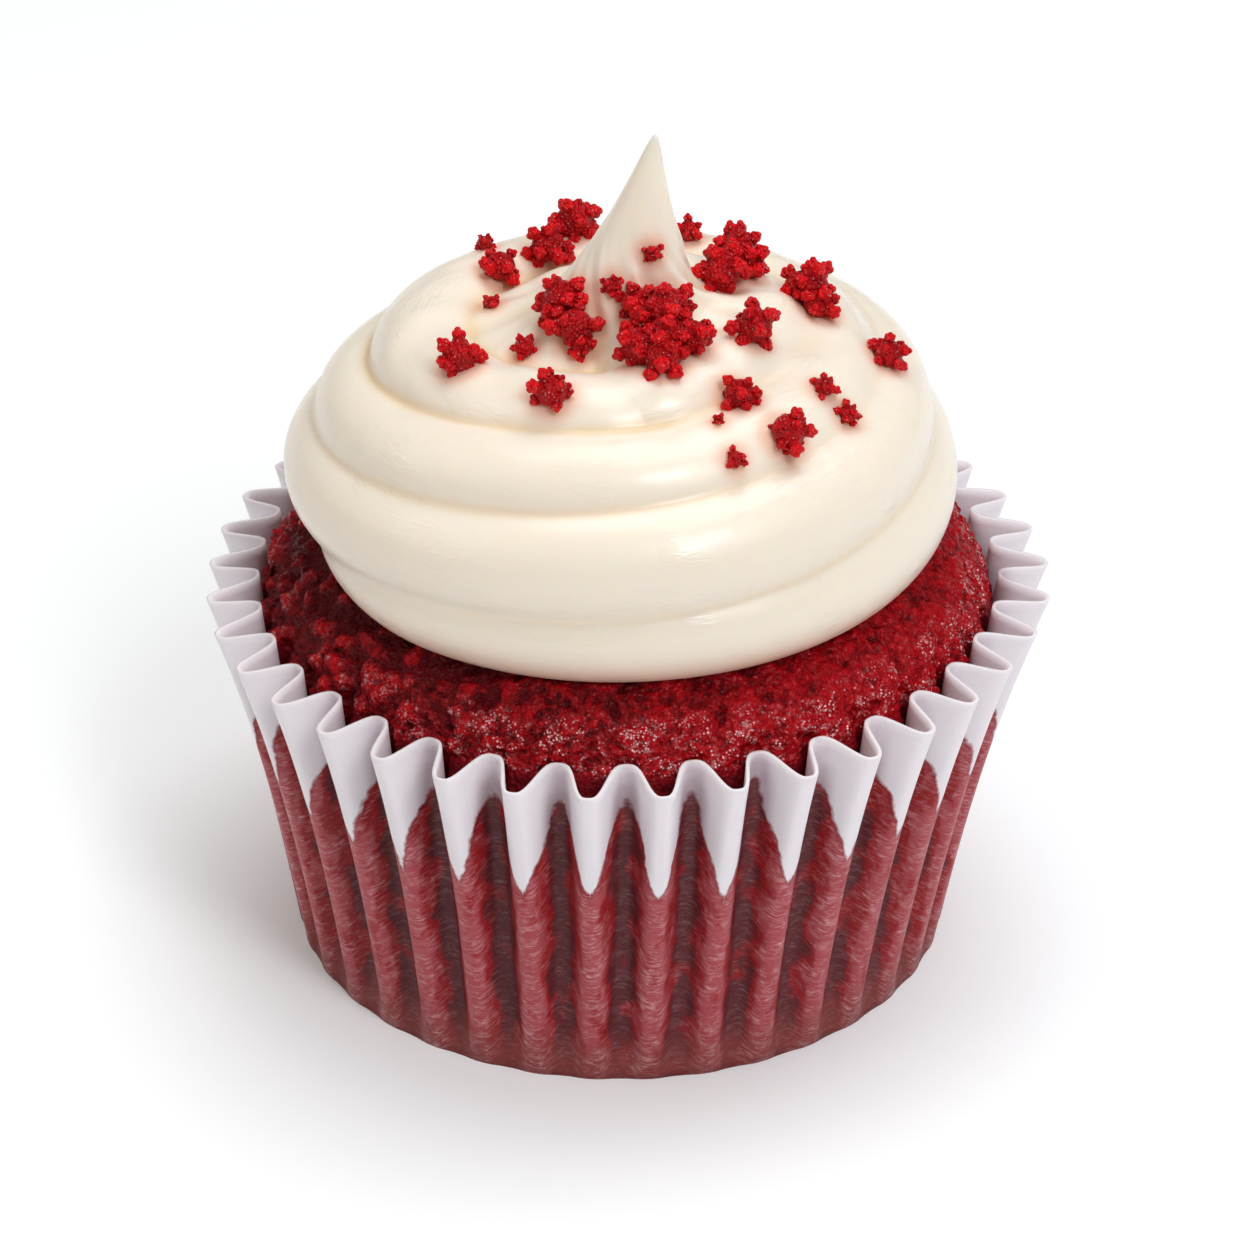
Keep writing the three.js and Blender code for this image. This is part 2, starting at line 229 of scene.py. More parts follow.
def skin_faces(rings: int, sides: int) -> list[list[int]]:
    """Joins a stack of rings into a closed skin.

    Args:
        rings: How many rings, each counter-clockwise seen from above, from the bottom up.
        sides: How many vertices each ring has.

    Returns:
        The faces, where vertex 0 is the pole under the first ring and the last one the
        pole over the last ring.
    """
    start = 1 + sides * np.arange(rings)[:, None]
    here = start + np.arange(sides)
    beside = start + (np.arange(sides) + 1) % sides
    quads = np.stack([here[:-1], beside[:-1], beside[1:], here[1:]], axis=-1).reshape(-1, 4)
    top = 1 + rings * sides
    below = [[0, int(b), int(a)] for a, b in zip(here[0], beside[0])]
    above = [[top, int(a), int(b)] for a, b in zip(here[-1], beside[-1])]
    return below + quads.tolist() + above


def skin_points(bottom: Array, rings: Array, top: Array) -> Array:
    """Lists the vertices of a closed skin in the order that skin_faces counts them."""
    return np.concatenate([bottom[None], rings.reshape(-1, 3), top[None]])


def give(piece: Piece, name: str, values: Array) -> None:
    """Stores one number or one vector for each vertex of a piece under a name."""
    kind, key = ("FLOAT", "value") if values.ndim == 1 else ("FLOAT_VECTOR", "vector")
    attribute = piece.data.attributes.new(name, kind, "POINT")
    attribute.data.foreach_set(key, np.ascontiguousarray(values, np.float32).ravel())


def measures(owner: Any, *names: str, unit: float = MM) -> dict[str, Any]:
    """Gives an owner's own measures, times a unit, under the names of a tree's inputs."""
    return {name: getattr(owner, name.lower().replace(" ", "_")) * unit for name in names}


def growing_tree(name: str, values: dict[str, Any]) -> Tree:
    """Starts a Geometry Nodes tree with a geometry going in and coming out.

    Args:
        name: The tree's name.
        values: The number or the material that each of its named inputs will hold.

    Returns:
        The tree, which holds its group input node alone.
    """
    tree = bpy.data.node_groups.new(name, "GeometryNodeTree")
    for way in ("INPUT", "OUTPUT"):
        tree.interface.new_socket("Geometry", in_out=way, socket_type="NodeSocketGeometry")
    for label, value in values.items():
        kind = "NodeSocketFloat" if isinstance(value, float) else "NodeSocketMaterial"
        tree.interface.new_socket(label, in_out="INPUT", socket_type=kind)
    add(tree, "NodeGroupInput")
    return tree


def finish_tree(tree: Tree, geometry: Node, material: Socket) -> None:
    """Ends a Geometry Nodes tree: instances made real, then the finish put on."""
    dressed = {"Geometry": add(tree, REAL, geometry), "Material": material}
    add(tree, "NodeGroupOutput", add(tree, "GeometryNodeSetMaterial", dressed))


def grown(piece: Piece, tree: Tree, values: dict[str, Any]) -> None:
    """Runs a Geometry Nodes tree on a piece and keeps the result as its plain mesh.

    Args:
        piece: The piece, whose mesh is the tree's input.
        tree: The tree.
        values: What each named input holds, set by its socket's identifier.
    """
    modifier = piece.modifiers.new(tree.name, "NODES")
    modifier.node_group = tree
    for item in tree.interface.items_tree:
        if item.name in values:
            modifier[item.identifier] = values[item.name]
    evaluated = piece.evaluated_get(bpy.context.evaluated_depsgraph_get())
    made = bpy.data.meshes.new_from_object(evaluated)
    piece.modifiers.clear()
    plain, piece.data = piece.data, made
    made.name = piece.name
    bpy.data.meshes.remove(plain)


# ---- Finishes ----


@dataclass(frozen=True)
class GreaseproofPaper:
    """White greaseproof paper, pressed into folds, soaked red where the sponge touches it."""

    white: str = "#ece5ea"
    # Painted shade inside the dry folds, as of the sponge behind the paper.
    shade: str = "#8c6872"
    # The crest's paleness is partly a painted sheen, and the valley's darkness partly painted
    # shade.
    crest_stain_and_sheen: str = "#a8434a"
    flank: str = "#960812"
    valley_stain_and_shade: str = "#5c1a20"
    edge_line: str = "#6a0e18"
    base: str = "#8a3a37"
    fibre: str = "#dcaeb0"
    crest_edge: float = 21.4
    valley_edge: float = 30.6
    arch_power: float = 0.72
    edge_swings: tuple[tuple[float, float], ...] = ((6.0, 1.6), (0.8, 0.4))
    patch_width: float = 1.5
    patch_height: float = 3.4
    drift_width: float = 1.6
    fibre_length: float = 1.0
    fibre_width: float = 0.24
    fibre_sag: float = 0.6
    roughness: float = 0.45

    def material(self) -> bpy.types.Material:
        """Makes the paper: dull white above, wet and see-through red below."""
        material, tree = new_material("Soaked greaseproof paper")
        here = add(tree, "ShaderNodeTexCoord").outputs["Object"]
        fold, height = (
            add(tree, MARK, attribute_name=name).outputs["Fac"] for name in ("fold", "height")
        )
        fibres = self._fibres(tree, here, fold)
        stain = self._stain(tree, here, fold, height)
        soaked = self._soaked(tree, here, fold, height, fibres)
        # Painted shade: the sponge seen dimly through the dry paper inside the folds, over the
        # soaked edge.
        near = add(tree, EASED, stain, -6.5, -0.2, 0.0, 0.7)
        inner = add(tree, EASED, fold, 0.1, -1.0)
        dim = add(tree, TIMES, near, inner)
        dry = add(tree, MIX, dim, linear(self.white), linear(self.shade))
        line = add(tree, RANGE, stain, 1.1, 0.1, 0.0, 0.45)
        lined = add(tree, MIX, line, soaked, linear(self.edge_line))
        edge = add(tree, RANGE, stain, -0.35, 0.35)
        colour = add(tree, MIX, edge, dry, lined)
        bump = add(
            tree, "ShaderNodeBump", {"Strength": 0.3, "Distance": 0.1 * MM, "Height": fibres}
        )
        # Paper is uncoated, so it has no sharp gloss, and light passes a little way into it.
        shader = add(tree, SURFACE, {
            "Base Color": colour, "Roughness": self.roughness, "IOR": 1.45,
            "Specular IOR Level": 0.3, "Subsurface Weight": 0.45,
            "Subsurface Radius": (0.6, 0.5, 0.5), "Subsurface Scale": 0.9 * MM, "Normal": bump,
        })
        surface_out(tree, shader)
        return material

    def _stain(self, tree: Tree, here: Socket, fold: Socket, height: Socket) -> Node:
        """Measures how far a place lies under the soaked paper's upper edge.

        Args:
            tree: The material's tree.
            here: The place on the paper.
            fold: 1 on the outside of a fold and -1 on its inside.
            height: The height over the base in millimetres.

        Returns:
            Millimetres under the edge, below 0 in the dry paper.
        """
        turned = add(tree, ARCCOSINE, fold)
        tooth = add(tree, OVER, turned, math.pi)
        arch = add(tree, POWER, tooth, self.arch_power)
        rise = self.valley_edge - self.crest_edge
        edge = add(tree, TIMES_PLUS, arch, rise, self.crest_edge)
        for width, swing in self.edge_swings:
            uneven = add(tree, NOISE, pattern(here, width, Detail=2.0))
            shift = add(tree, RANGE, uneven, 0.25, 0.75, -swing, swing)
            edge = add(tree, PLUS, edge, shift)
        return add(tree, MINUS, edge, height)

    def _soaked(
        self, tree: Tree, here: Socket, fold: Socket, height: Socket, fibres: Node
    ) -> Node:
        """Colours the soaked paper: pale fibres, crests paler partly by a painted sheen, red
        flanks, and brown insides darker partly by painted shade.

        Args:
            tree: The material's tree.
            here: The place on the paper.
            fold: 1 on the outside of a fold and -1 on its inside.
            height: The height over the base in millimetres.
            fibres: How much of a fibre lies there.

        Returns:
            The colour.
        """
        wide, high = 1 / (self.patch_width * MM), 1 / (self.patch_height * MM)
        stretched = add(tree, "ShaderNodeMapping", {"Vector": here, "Scale": (wide, wide, high)})
        patches = add(tree, NOISE, {"Vector": stretched, "Scale": 1.0, "Detail": 5.0})
        shift = add(tree, RANGE, patches, 0.25, 0.75, -1.15, 1.15)
        where = add(tree, PLUS, fold, shift)
        share = add(tree, RANGE, where, -1.3, 1.2)
        # The stain runs from brown in the folds' insides to pale on the crests; part of the
        # insides' darkness is painted shade, part of the crests' paleness a painted sheen.
        valley_stain_and_shade, flank, crest_stain_and_sheen = linear(self.valley_stain_and_shade), linear(self.flank), linear(self.crest_stain_and_sheen)
        stops = [(0.0, valley_stain_and_shade), (0.2, valley_stain_and_shade), (0.43, flank), (0.55, flank), (0.82, crest_stain_and_sheen)]
        across = add(tree, "ShaderNodeValToRGB", share, stops=stops)
        low = add(tree, EASED, height, 6.0, 0.5, 0.0, 0.85)
        grounded = add(tree, MIX, low, across, linear(self.base))
        pale = add(tree, RANGE, fibres, 0.47, 0.68)
        seen = add(tree, RANGE, where, -0.6, 0.9, 0.22, 0.8)
        drift = add(tree, NOISE, pattern(here, self.drift_width, Detail=4.0, Roughness=0.65))
        broken = add(tree, RANGE, drift, 0.36, 0.62, 0.15, 1.0)
        patchy = add(tree, TIMES, seen, broken)
        shown = add(tree, TIMES, pale, patchy)
        return add(tree, MIX, shown, grounded, linear(self.fibre))

    def _fibres(self, tree: Tree, here: Socket, fold: Socket) -> Node:
        """Draws the paper's fibres, which lie level and sag a little on the crests.

        Args:
            tree: The material's tree.
            here: The place on the paper.
            fold: 1 on the outside of a fold and -1 on its inside.

        Returns:
            The noise.
        """
        split = add(tree, "ShaderNodeSeparateXYZ", here)
        sagged = add(tree, TIMES_PLUS, fold, self.fibre_sag * MM, split.outputs[2])
        bent = add(tree, "ShaderNodeCombineXYZ", split, split.outputs[1], sagged)
        long, thin = 1 / (self.fibre_length * MM), 1 / (self.fibre_width * MM)
        lying = add(tree, "ShaderNodeMapping", {"Vector": bent, "Scale": (long, long, thin)})
        return add(tree, NOISE, {
            "Vector": lying, "Scale": 1.0, "Detail": 5.0, "Roughness": 0.62, "Distortion": 0.9,
        })


@dataclass(frozen=True)
class RedVelvetSponge:
    """Baked red velvet sponge: moist and full of small holes, with painted glints and a painted
    sheen.
    """

    crumb: str = "#a80411"
    # Painted shade for the hollows, the open pores and the crumb under the frosting.
    pit_shade: str = "#5a040c"
    skin: str = "#760a15"
    # Painted highlight: the colour and size of the glints.
    glint: str = "#fbd2d5"
    glint_size: float = 0.3
    sheen_size: float = 0.5
    drift_width: float = 2.2
    patch_width: float = 1.3
    grit: float = 0.4
    pore: float = 0.6
    roughness: float = 0.3

    def material(self) -> bpy.types.Material:
        """Makes the sponge: painted shade in its holes and under the frosting, painted light on
        its right side, painted glints, and a duller skin by the paper.
        """
        material, tree = new_material("Baked red velvet sponge")
        here = add(tree, "ShaderNodeTexCoord").outputs["Object"]
        hollow, skin, covered, airy = (
            add(tree, MARK, attribute_name=name).outputs["Fac"]
            for name in ("hollow", "skin", "covered", "airy")
        )
        # Painted shade: the pit colour darkens the hollows, the open pores and the ring under the
        # frosting's lip, over the crumb's own uneven tone.
        patches = add(tree, NOISE, pattern(here, self.patch_width, Detail=5.0, Roughness=0.65))
        depth = add(tree, TIMES_PLUS, patches, 0.7, hollow)
        pores = add(tree, NOISE, pattern(here, self.pore, Detail=3.0, Roughness=0.6))
        open_pore = add(tree, RANGE, pores, 0.5, 0.32, 0.0, 0.6)
        lower = add(tree, TIMES_PLUS, covered, 0.4, depth)
        pored = add(tree, PLUS, lower, open_pore)
        # Painted light: the right side is lightened.
        deep = add(tree, TIMES_PLUS, airy, -0.5, pored)
        dark = add(tree, RANGE, deep, 0.5, 1.5)
        baked = add(tree, MIX, dark, linear(self.crumb), linear(self.pit_shade))
        skinned = add(tree, MIX, skin, baked, linear(self.skin))
        bare = {skin: (0.1, 0.6), hollow: (0.35, 0.7), covered: (0.1, 0.7)}
        glint = self._glint(tree, here, bare)
        # Painted highlight: the glints and sheen lighten the colour.
        colour = add(tree, MIX, glint, skinned, linear(self.glint))
        grit = pattern(here, self.grit, Smoothness=0.4)
        rough = add(tree, TIMES_PLUS, open_pore, 1.2, add(tree, ROUND_CELLS, grit))
        relief = {"Strength": 1.0, "Distance": 0.2 * MM, "Height": rough}
        bump = add(tree, "ShaderNodeBump", relief, invert=True)
        shader = add(tree, SURFACE, {
            "Base Color": colour, "Roughness": self.roughness, "IOR": 1.42,
            "Specular IOR Level": 0.18, "Subsurface Weight": 0.06,
            "Subsurface Radius": (1.0, 0.25, 0.2), "Subsurface Scale": 0.4 * MM, "Normal": bump,
        })
        surface_out(tree, shader)
        return material

    def _glint(self, tree: Tree, here: Socket, bare: dict[Socket, tuple[float, float]]) -> Node:
        """Paints glints and a sheen: points of highlight, thick in some places and thin in others.

        Args:
            tree: The material's tree.
            here: The place on the sponge.
            bare: The marks of places with fewer painted glints, and where on each they thin and
                end.

        Returns:
            How much of the painted glint's colour shows.
        """
        cells = add(tree, CELLS, pattern(here, self.glint_size))
        chance = add(tree, "ShaderNodeSeparateColor", cells.outputs["Color"])
        drift = add(tree, NOISE, pattern(here, self.drift_width, Detail=4.0, Roughness=0.6))
        low = add(tree, RANGE, drift, 0.38, 0.58, 0.88, -0.25)
        over = add(tree, MINUS, chance, low)
        some = add(tree, RANGE, over, 0.0, 0.4)
        nearer = add(tree, TIMES_PLUS, some, -0.12, cells)
        point = add(tree, RANGE, nearer, 0.26, 0.08)
        coarse = add(tree, MARK, attribute_name="coarse").outputs["Fac"]
        fewer = add(tree, RANGE, coarse, 0.0, 1.0, 1.0, 0.1)
        sown = add(tree, TIMES, point, some)
        sparse = add(tree, TIMES, sown, fewer)
        sheen_patches = add(tree, NOISE, pattern(here, self.sheen_size, Detail=2.0, Distortion=1.0))
        sheen = add(tree, RANGE, sheen_patches, 0.54, 0.67, 0.0, 0.5)
        thick = add(tree, RANGE, drift, 0.43, 0.58)
        smeared = add(tree, TIMES, sheen, thick)
        shown = add(tree, LARGER, sparse, smeared)
        for mark, (thin, none) in bare.items():
            shown = add(tree, TIMES, shown, add(tree, RANGE, mark, thin, none, 1.0, 0.0))
        return shown


@dataclass(frozen=True)
class CreamCheeseFrosting:
    """Whipped cream cheese and butter: a warm white cream with a soft, broken gloss."""

    cream: str = "#f6eada"
    # Painted warm shade for the grooves.
    groove: str = "#ecd5ae"
    # Painted light: the red glow by the crumbs and the lip.
    red_glow: str = "#efa47c"
    streak_width: float = 1.3
    patch_width: float = 7.0
    ripple: float = 0.5
    roughness: float = 0.27

    def material(self) -> bpy.types.Material:
        """Makes the frosting: light sinks in, so its edges look soft; the grooves get a painted
        warm shade, and a painted red glow lies by the crumbs and the lip.
        """
        material, tree = new_material("Whipped cream cheese frosting")
        groove, stain = (
            add(tree, MARK, attribute_name=name).outputs["Fac"] for name in ("groove", "stain")
        )
        flow = add(tree, MARK, attribute_name="flow").outputs["Vector"]
        streaks = add(tree, NOISE, {"Vector": flow, "Scale": 1 / self.streak_width, "Detail": 1.0})
        tint = add(tree, RANGE, streaks, 0.3, 0.7, -0.01, 0.012)
        # Painted shade: the grooves are tinted a warm tan, over the cream's own streaky tone.
        warm = add(tree, PLUS, groove, tint, use_clamp=True)
        cream = add(tree, MIX, warm, linear(self.cream), linear(self.groove))
        # Painted light: a red glow by the crumbs and along the lip.
        colour = add(tree, MIX, stain, cream, linear(self.red_glow))
        place = add(tree, "ShaderNodeTexCoord").outputs["Object"]
        patches = add(tree, NOISE, pattern(place, self.patch_width, Detail=2.0))
        patch = add(tree, RANGE, patches, 0.51, 0.62, 0.0, 1.0)
        ripples = add(tree, NOISE, {
            "Vector": flow, "Scale": 1 / self.ripple, "Detail": 3.0, "Distortion": 0.8,
        })
        relief = add(tree, TIMES, ripples, patch)
        bump = add(
            tree, "ShaderNodeBump", {"Strength": 0.7, "Distance": 0.16 * MM, "Height": relief}
        )
        gloss = add(tree, RANGE, patch, 0.0, 1.0, self.roughness, self.roughness - 0.09)
        shader = add(tree, SURFACE, {
            "Base Color": colour, "Roughness": gloss, "IOR": 1.47, "Subsurface Weight": 0.6,
            "Subsurface Radius": (1.0, 0.72, 0.45), "Subsurface Scale": 2.2 * MM, "Normal": bump,
        })
        surface_out(tree, shader)
        return material


@dataclass(frozen=True)
class VelvetCrumb:
    """Loose red velvet crumb: a knobbly, bright red grain with painted sparkle on its knobs."""

    # Painted light and shade: bright red for the arms' tips, deep red for the middle where the
    # arms part.
    bright: str = "#f00c17"
    deep: str = "#a8030d"
    # Painted highlight: the sparkle points' colour and size.
    sparkle: str = "#fbd0d0"
    sparkle_size: float = 0.34
    patch_width: float = 0.9
    roughness: float = 0.36

    def material(self) -> bpy.types.Material:
        """Makes the crumb: painted shade in the middle where its arms part, bright arm tips, and
        painted sparkle points.
        """
        material, tree = new_material("Red velvet crumb")
        place = add(tree, "ShaderNodeTexCoord").outputs["Object"]
        # Painted shade and light: deep red towards the middle where the arms part, bright red at
        # the tips; the noise adds the crumb's own uneven tone.
        arm = add(tree, MARK, attribute_name="arm").outputs["Fac"]
        patches = add(tree, NOISE, pattern(place, self.patch_width, Detail=3.0))
        outward = add(tree, TIMES_PLUS, patches, 0.5, arm)
        share = add(tree, RANGE, outward, 0.8, 1.2)
        red = add(tree, MIX, share, linear(self.deep), linear(self.bright))
        # Painted highlight: pale sparkle points on the grains.
        grains = add(tree, CELLS, pattern(place, self.sparkle_size, Randomness=0.8))
        point = add(tree, RANGE, grains, 0.26, 0.1)
        chance = add(tree, "ShaderNodeSeparateColor", grains.outputs["Color"])
        some = add(tree, RANGE, chance.outputs[1], 0.5, 0.9)
        shown = add(tree, TIMES, point, some)
        lit = add(tree, TIMES, shown, 0.7)
        colour = add(tree, MIX, lit, red, linear(self.sparkle))
        relief = {"Strength": 1.0, "Distance": 0.4 * MM, "Height": grains}
        bump = add(tree, "ShaderNodeBump", relief, invert=True)
        shader = add(tree, SURFACE, {
            "Base Color": colour, "Roughness": self.roughness, "IOR": 1.45,
            "Specular IOR Level": 0.28, "Subsurface Weight": 0.25,
            "Subsurface Radius": (1.0, 0.2, 0.15), "Subsurface Scale": 0.35 * MM, "Normal": bump,
        })
        surface_out(tree, shader)
        return material


@dataclass(frozen=True)
class StudioPaper:
    """The white seamless paper that the cupcake stands on."""

    white: str = "#f2f5f6"
    lift: float = 0.14

    def material(self) -> bpy.types.Material:
        """Makes the floor: matt white, lifted a little so that it stays pale."""
        material, tree = new_material("White studio paper")
        shader = add(tree, SURFACE, {
            "Base Color": linear(self.white), "Roughness": 0.95, "Specular IOR Level": 0.1,
            "Emission Color": (1.0, 1.0, 1.0, 1.0), "Emission Strength": self.lift,
        })
        surface_out(tree, shader)
        return material


# ---- The paper case ----


@dataclass
class PaperCase:
    """The fluted case: a round of paper with a flat base and a wall of upright folds."""

    paper: float = 0.3
    folds: int = 37
    first_fold: float = 158.2
    height: float = 34.0
    base_reach: float = 29.3
    slope: float = 0.17
    flare: float = 1.9
    flare_power: float = 3.0
    depth_base: float = 1.1
    depth_rim: float = 4.3
    depth_lip: float = 0.9
    lip_power: float = 6.0
    foot_flattening: float = 0.92
    foot_height: float = 2.6
    squareness: float = 0.1
    rim_wave: float = 0.3
    unevenness: float = 0.35
    swings: tuple[tuple[int, float], ...] = ((3, 1.0), (7, 2.0))
    skew: float = -0.45
    steps_per_fold: int = 24
    wall_steps: int = 40
    floor_rings: int = 6

    @property
    def depth_spread(self) -> float:
        """How much deeper the folds are just under the lip than at the base."""
        return self.depth_rim - self.depth_lip - self.depth_base

    def fold_wave(self, angle: Array) -> Array:
        """Gives 1 on the outside of a fold and -1 on its inside."""
        phase = self.folds * (angle - math.radians(self.first_fold))
        square = np.cos(phase) - self.squareness * np.cos(3 * phase)
        return square / (1 - self.squareness)

    def fold_depth(self, z: Array) -> Array:
        """Gives the folds' depth at a height."""
        rise = z / self.height
        depth = self.depth_base + self.depth_spread * rise + self.depth_lip * rise**self.lip_power
        return depth - self.foot_flattening * np.exp(-z / self.foot_height)

    def reach(self, angle: Array, z: Array) -> Array:
        """Gives the wall's outer face as a distance from the axis."""
        rise = z / self.height
        swing = sum(np.sin(waves * angle + phase) for waves, phase in self.swings)
        swing = self.unevenness * rise**2 * swing / len(self.swings)
        flare = self.flare * rise**self.flare_power
        fold = self.base_reach + self.slope * z + flare
        return fold - self.fold_depth(z) * (1 - self.fold_wave(angle)) / 2 + swing

    def build(self) -> Piece:
        """Folds a flat-based tube of paper and gives it its thickness.

        Returns:
            The case, which stands for the part's own one.
        """
        case = self._tube()
        values = measures(
            self, "Height", "Base Reach", "Flare", "Depth Base", "Depth Lip", "Foot Flattening",
            "Rim Wave", "Skew",
        )
        values |= {
            "Folds": float(self.folds),
            "First Fold": math.radians(self.first_fold),
            "Slope": self.slope * self.height * MM,
            "Depth Spread": self.depth_spread * MM,
            "Foot Height": self.foot_height / self.height,
            "Unevenness": self.unevenness * MM / len(self.swings),
            "Paper": GreaseproofPaper().material(),
        }
        grown(case, self._folding_tree(values), values)
        thick = case.modifiers.new("Paper thickness", "SOLIDIFY")
        thick.thickness = self.paper * MM
        thick.offset = -1.0
        thick.use_even_offset = True
        thick.thickness_clamp = 0.0
        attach(case, "root")
        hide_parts("paper_case")
        return case

    def _tube(self) -> Piece:
        """Makes the unfolded sheet: a unit tube over a disc, 1 mm round and 1 mm high."""
        sides = self.folds * self.steps_per_fold
        angle = TAU * np.arange(sides) / sides + math.radians(self.first_fold)
        disc = np.arange(1, self.floor_rings) / self.floor_rings
        wall = np.arange(1, self.wall_steps + 1) / self.wall_steps
        reach = np.concatenate([disc, np.ones(len(wall) + 1)])[:, None]
        rise = np.concatenate([np.zeros(self.floor_rings), wall])
        level = np.broadcast_to(rise[:, None], (len(rise), sides))
        rings = np.stack([reach * np.cos(angle), reach * np.sin(angle), level], axis=-1)
        points = np.concatenate([np.zeros((1, 3)), rings.reshape(-1, 3)])
        faces = [f for f in skin_faces(len(rise), sides) if max(f) <= len(rise) * sides]
        return new_object("fluted_case", points / MM, faces)

    def _folding_tree(self, values: dict[str, Any]) -> Tree:
        """Builds the tree that bends the sheet into folds and marks crests and heights."""
        tree = growing_tree("Fluted case", values)
        size = tree.nodes[0].outputs
        split = add(tree, "ShaderNodeSeparateXYZ", add(tree, "GeometryNodeInputPosition"))
        east, north, rise = split.outputs[:3]
        angle = add(tree, DIRECTION, north, east)
        turned = add(tree, MINUS, angle, size["First Fold"])
        phase = add(tree, TIMES, turned, size["Folds"])
        slow, fast = add(tree, COSINE, phase), add(tree, COSINE, add(tree, TIMES, phase, 3.0))
        square = add(tree, TIMES_PLUS, fast, -self.squareness, slow)
        wave = add(tree, OVER, square, 1 - self.squareness)
        flared = add(tree, POWER, rise, self.flare_power)
        lipped = add(tree, POWER, rise, self.lip_power)
        squared = add(tree, POWER, rise, 2.0)
        depth = add(tree, TIMES_PLUS, rise, size["Depth Spread"], size["Depth Base"])
        lip_depth = add(tree, TIMES_PLUS, lipped, size["Depth Lip"], depth)
        fading = add(tree, POWER, math.exp(-1), add(tree, OVER, rise, size["Foot Height"]))
        foot = add(tree, TIMES, fading, size["Foot Flattening"])
        whole_depth = add(tree, MINUS, lip_depth, foot)
        inner = add(tree, TIMES_PLUS, wave, 0.5, -0.5)
        total = add(tree, TIMES, inner, whole_depth)
        for waves, start in self.swings:
            turns = add(tree, TIMES_PLUS, angle, float(waves), start)
            lifted = add(tree, TIMES, add(tree, SINE, turns), squared)
            total = add(tree, TIMES_PLUS, lifted, size["Unevenness"], total)
        straight = add(tree, TIMES_PLUS, rise, size["Slope"], size["Base Reach"])
        curved = add(tree, TIMES_PLUS, flared, size["Flare"], straight)
        reach = add(tree, PLUS, curved, total)
        aside = add(tree, TIMES, add(tree, MINUS, 1.0, rise), size["Skew"])
        x = add(tree, TIMES_PLUS, east, reach, aside)
        y = add(tree, TIMES, north, reach)
        edge = add(tree, MINUS, size["Height"], add(tree, TIMES, wave, size["Rim Wave"]))
        z = add(tree, TIMES, rise, edge)
        place = add(tree, "ShaderNodeCombineXYZ", x, y, z)
        shape: Node | Socket = size["Geometry"]
        for name, value in (("fold", wave), ("height", add(tree, OVER, z, MM))):
            shape = add(tree, STORE, {"Geometry": shape, "Name": name, "Value": value})
        folded = add(tree, MOVE, {"Geometry": shape, "Position": place})
        finish_tree(tree, folded, size["Paper"])
        return tree


# ---- The sponge ----


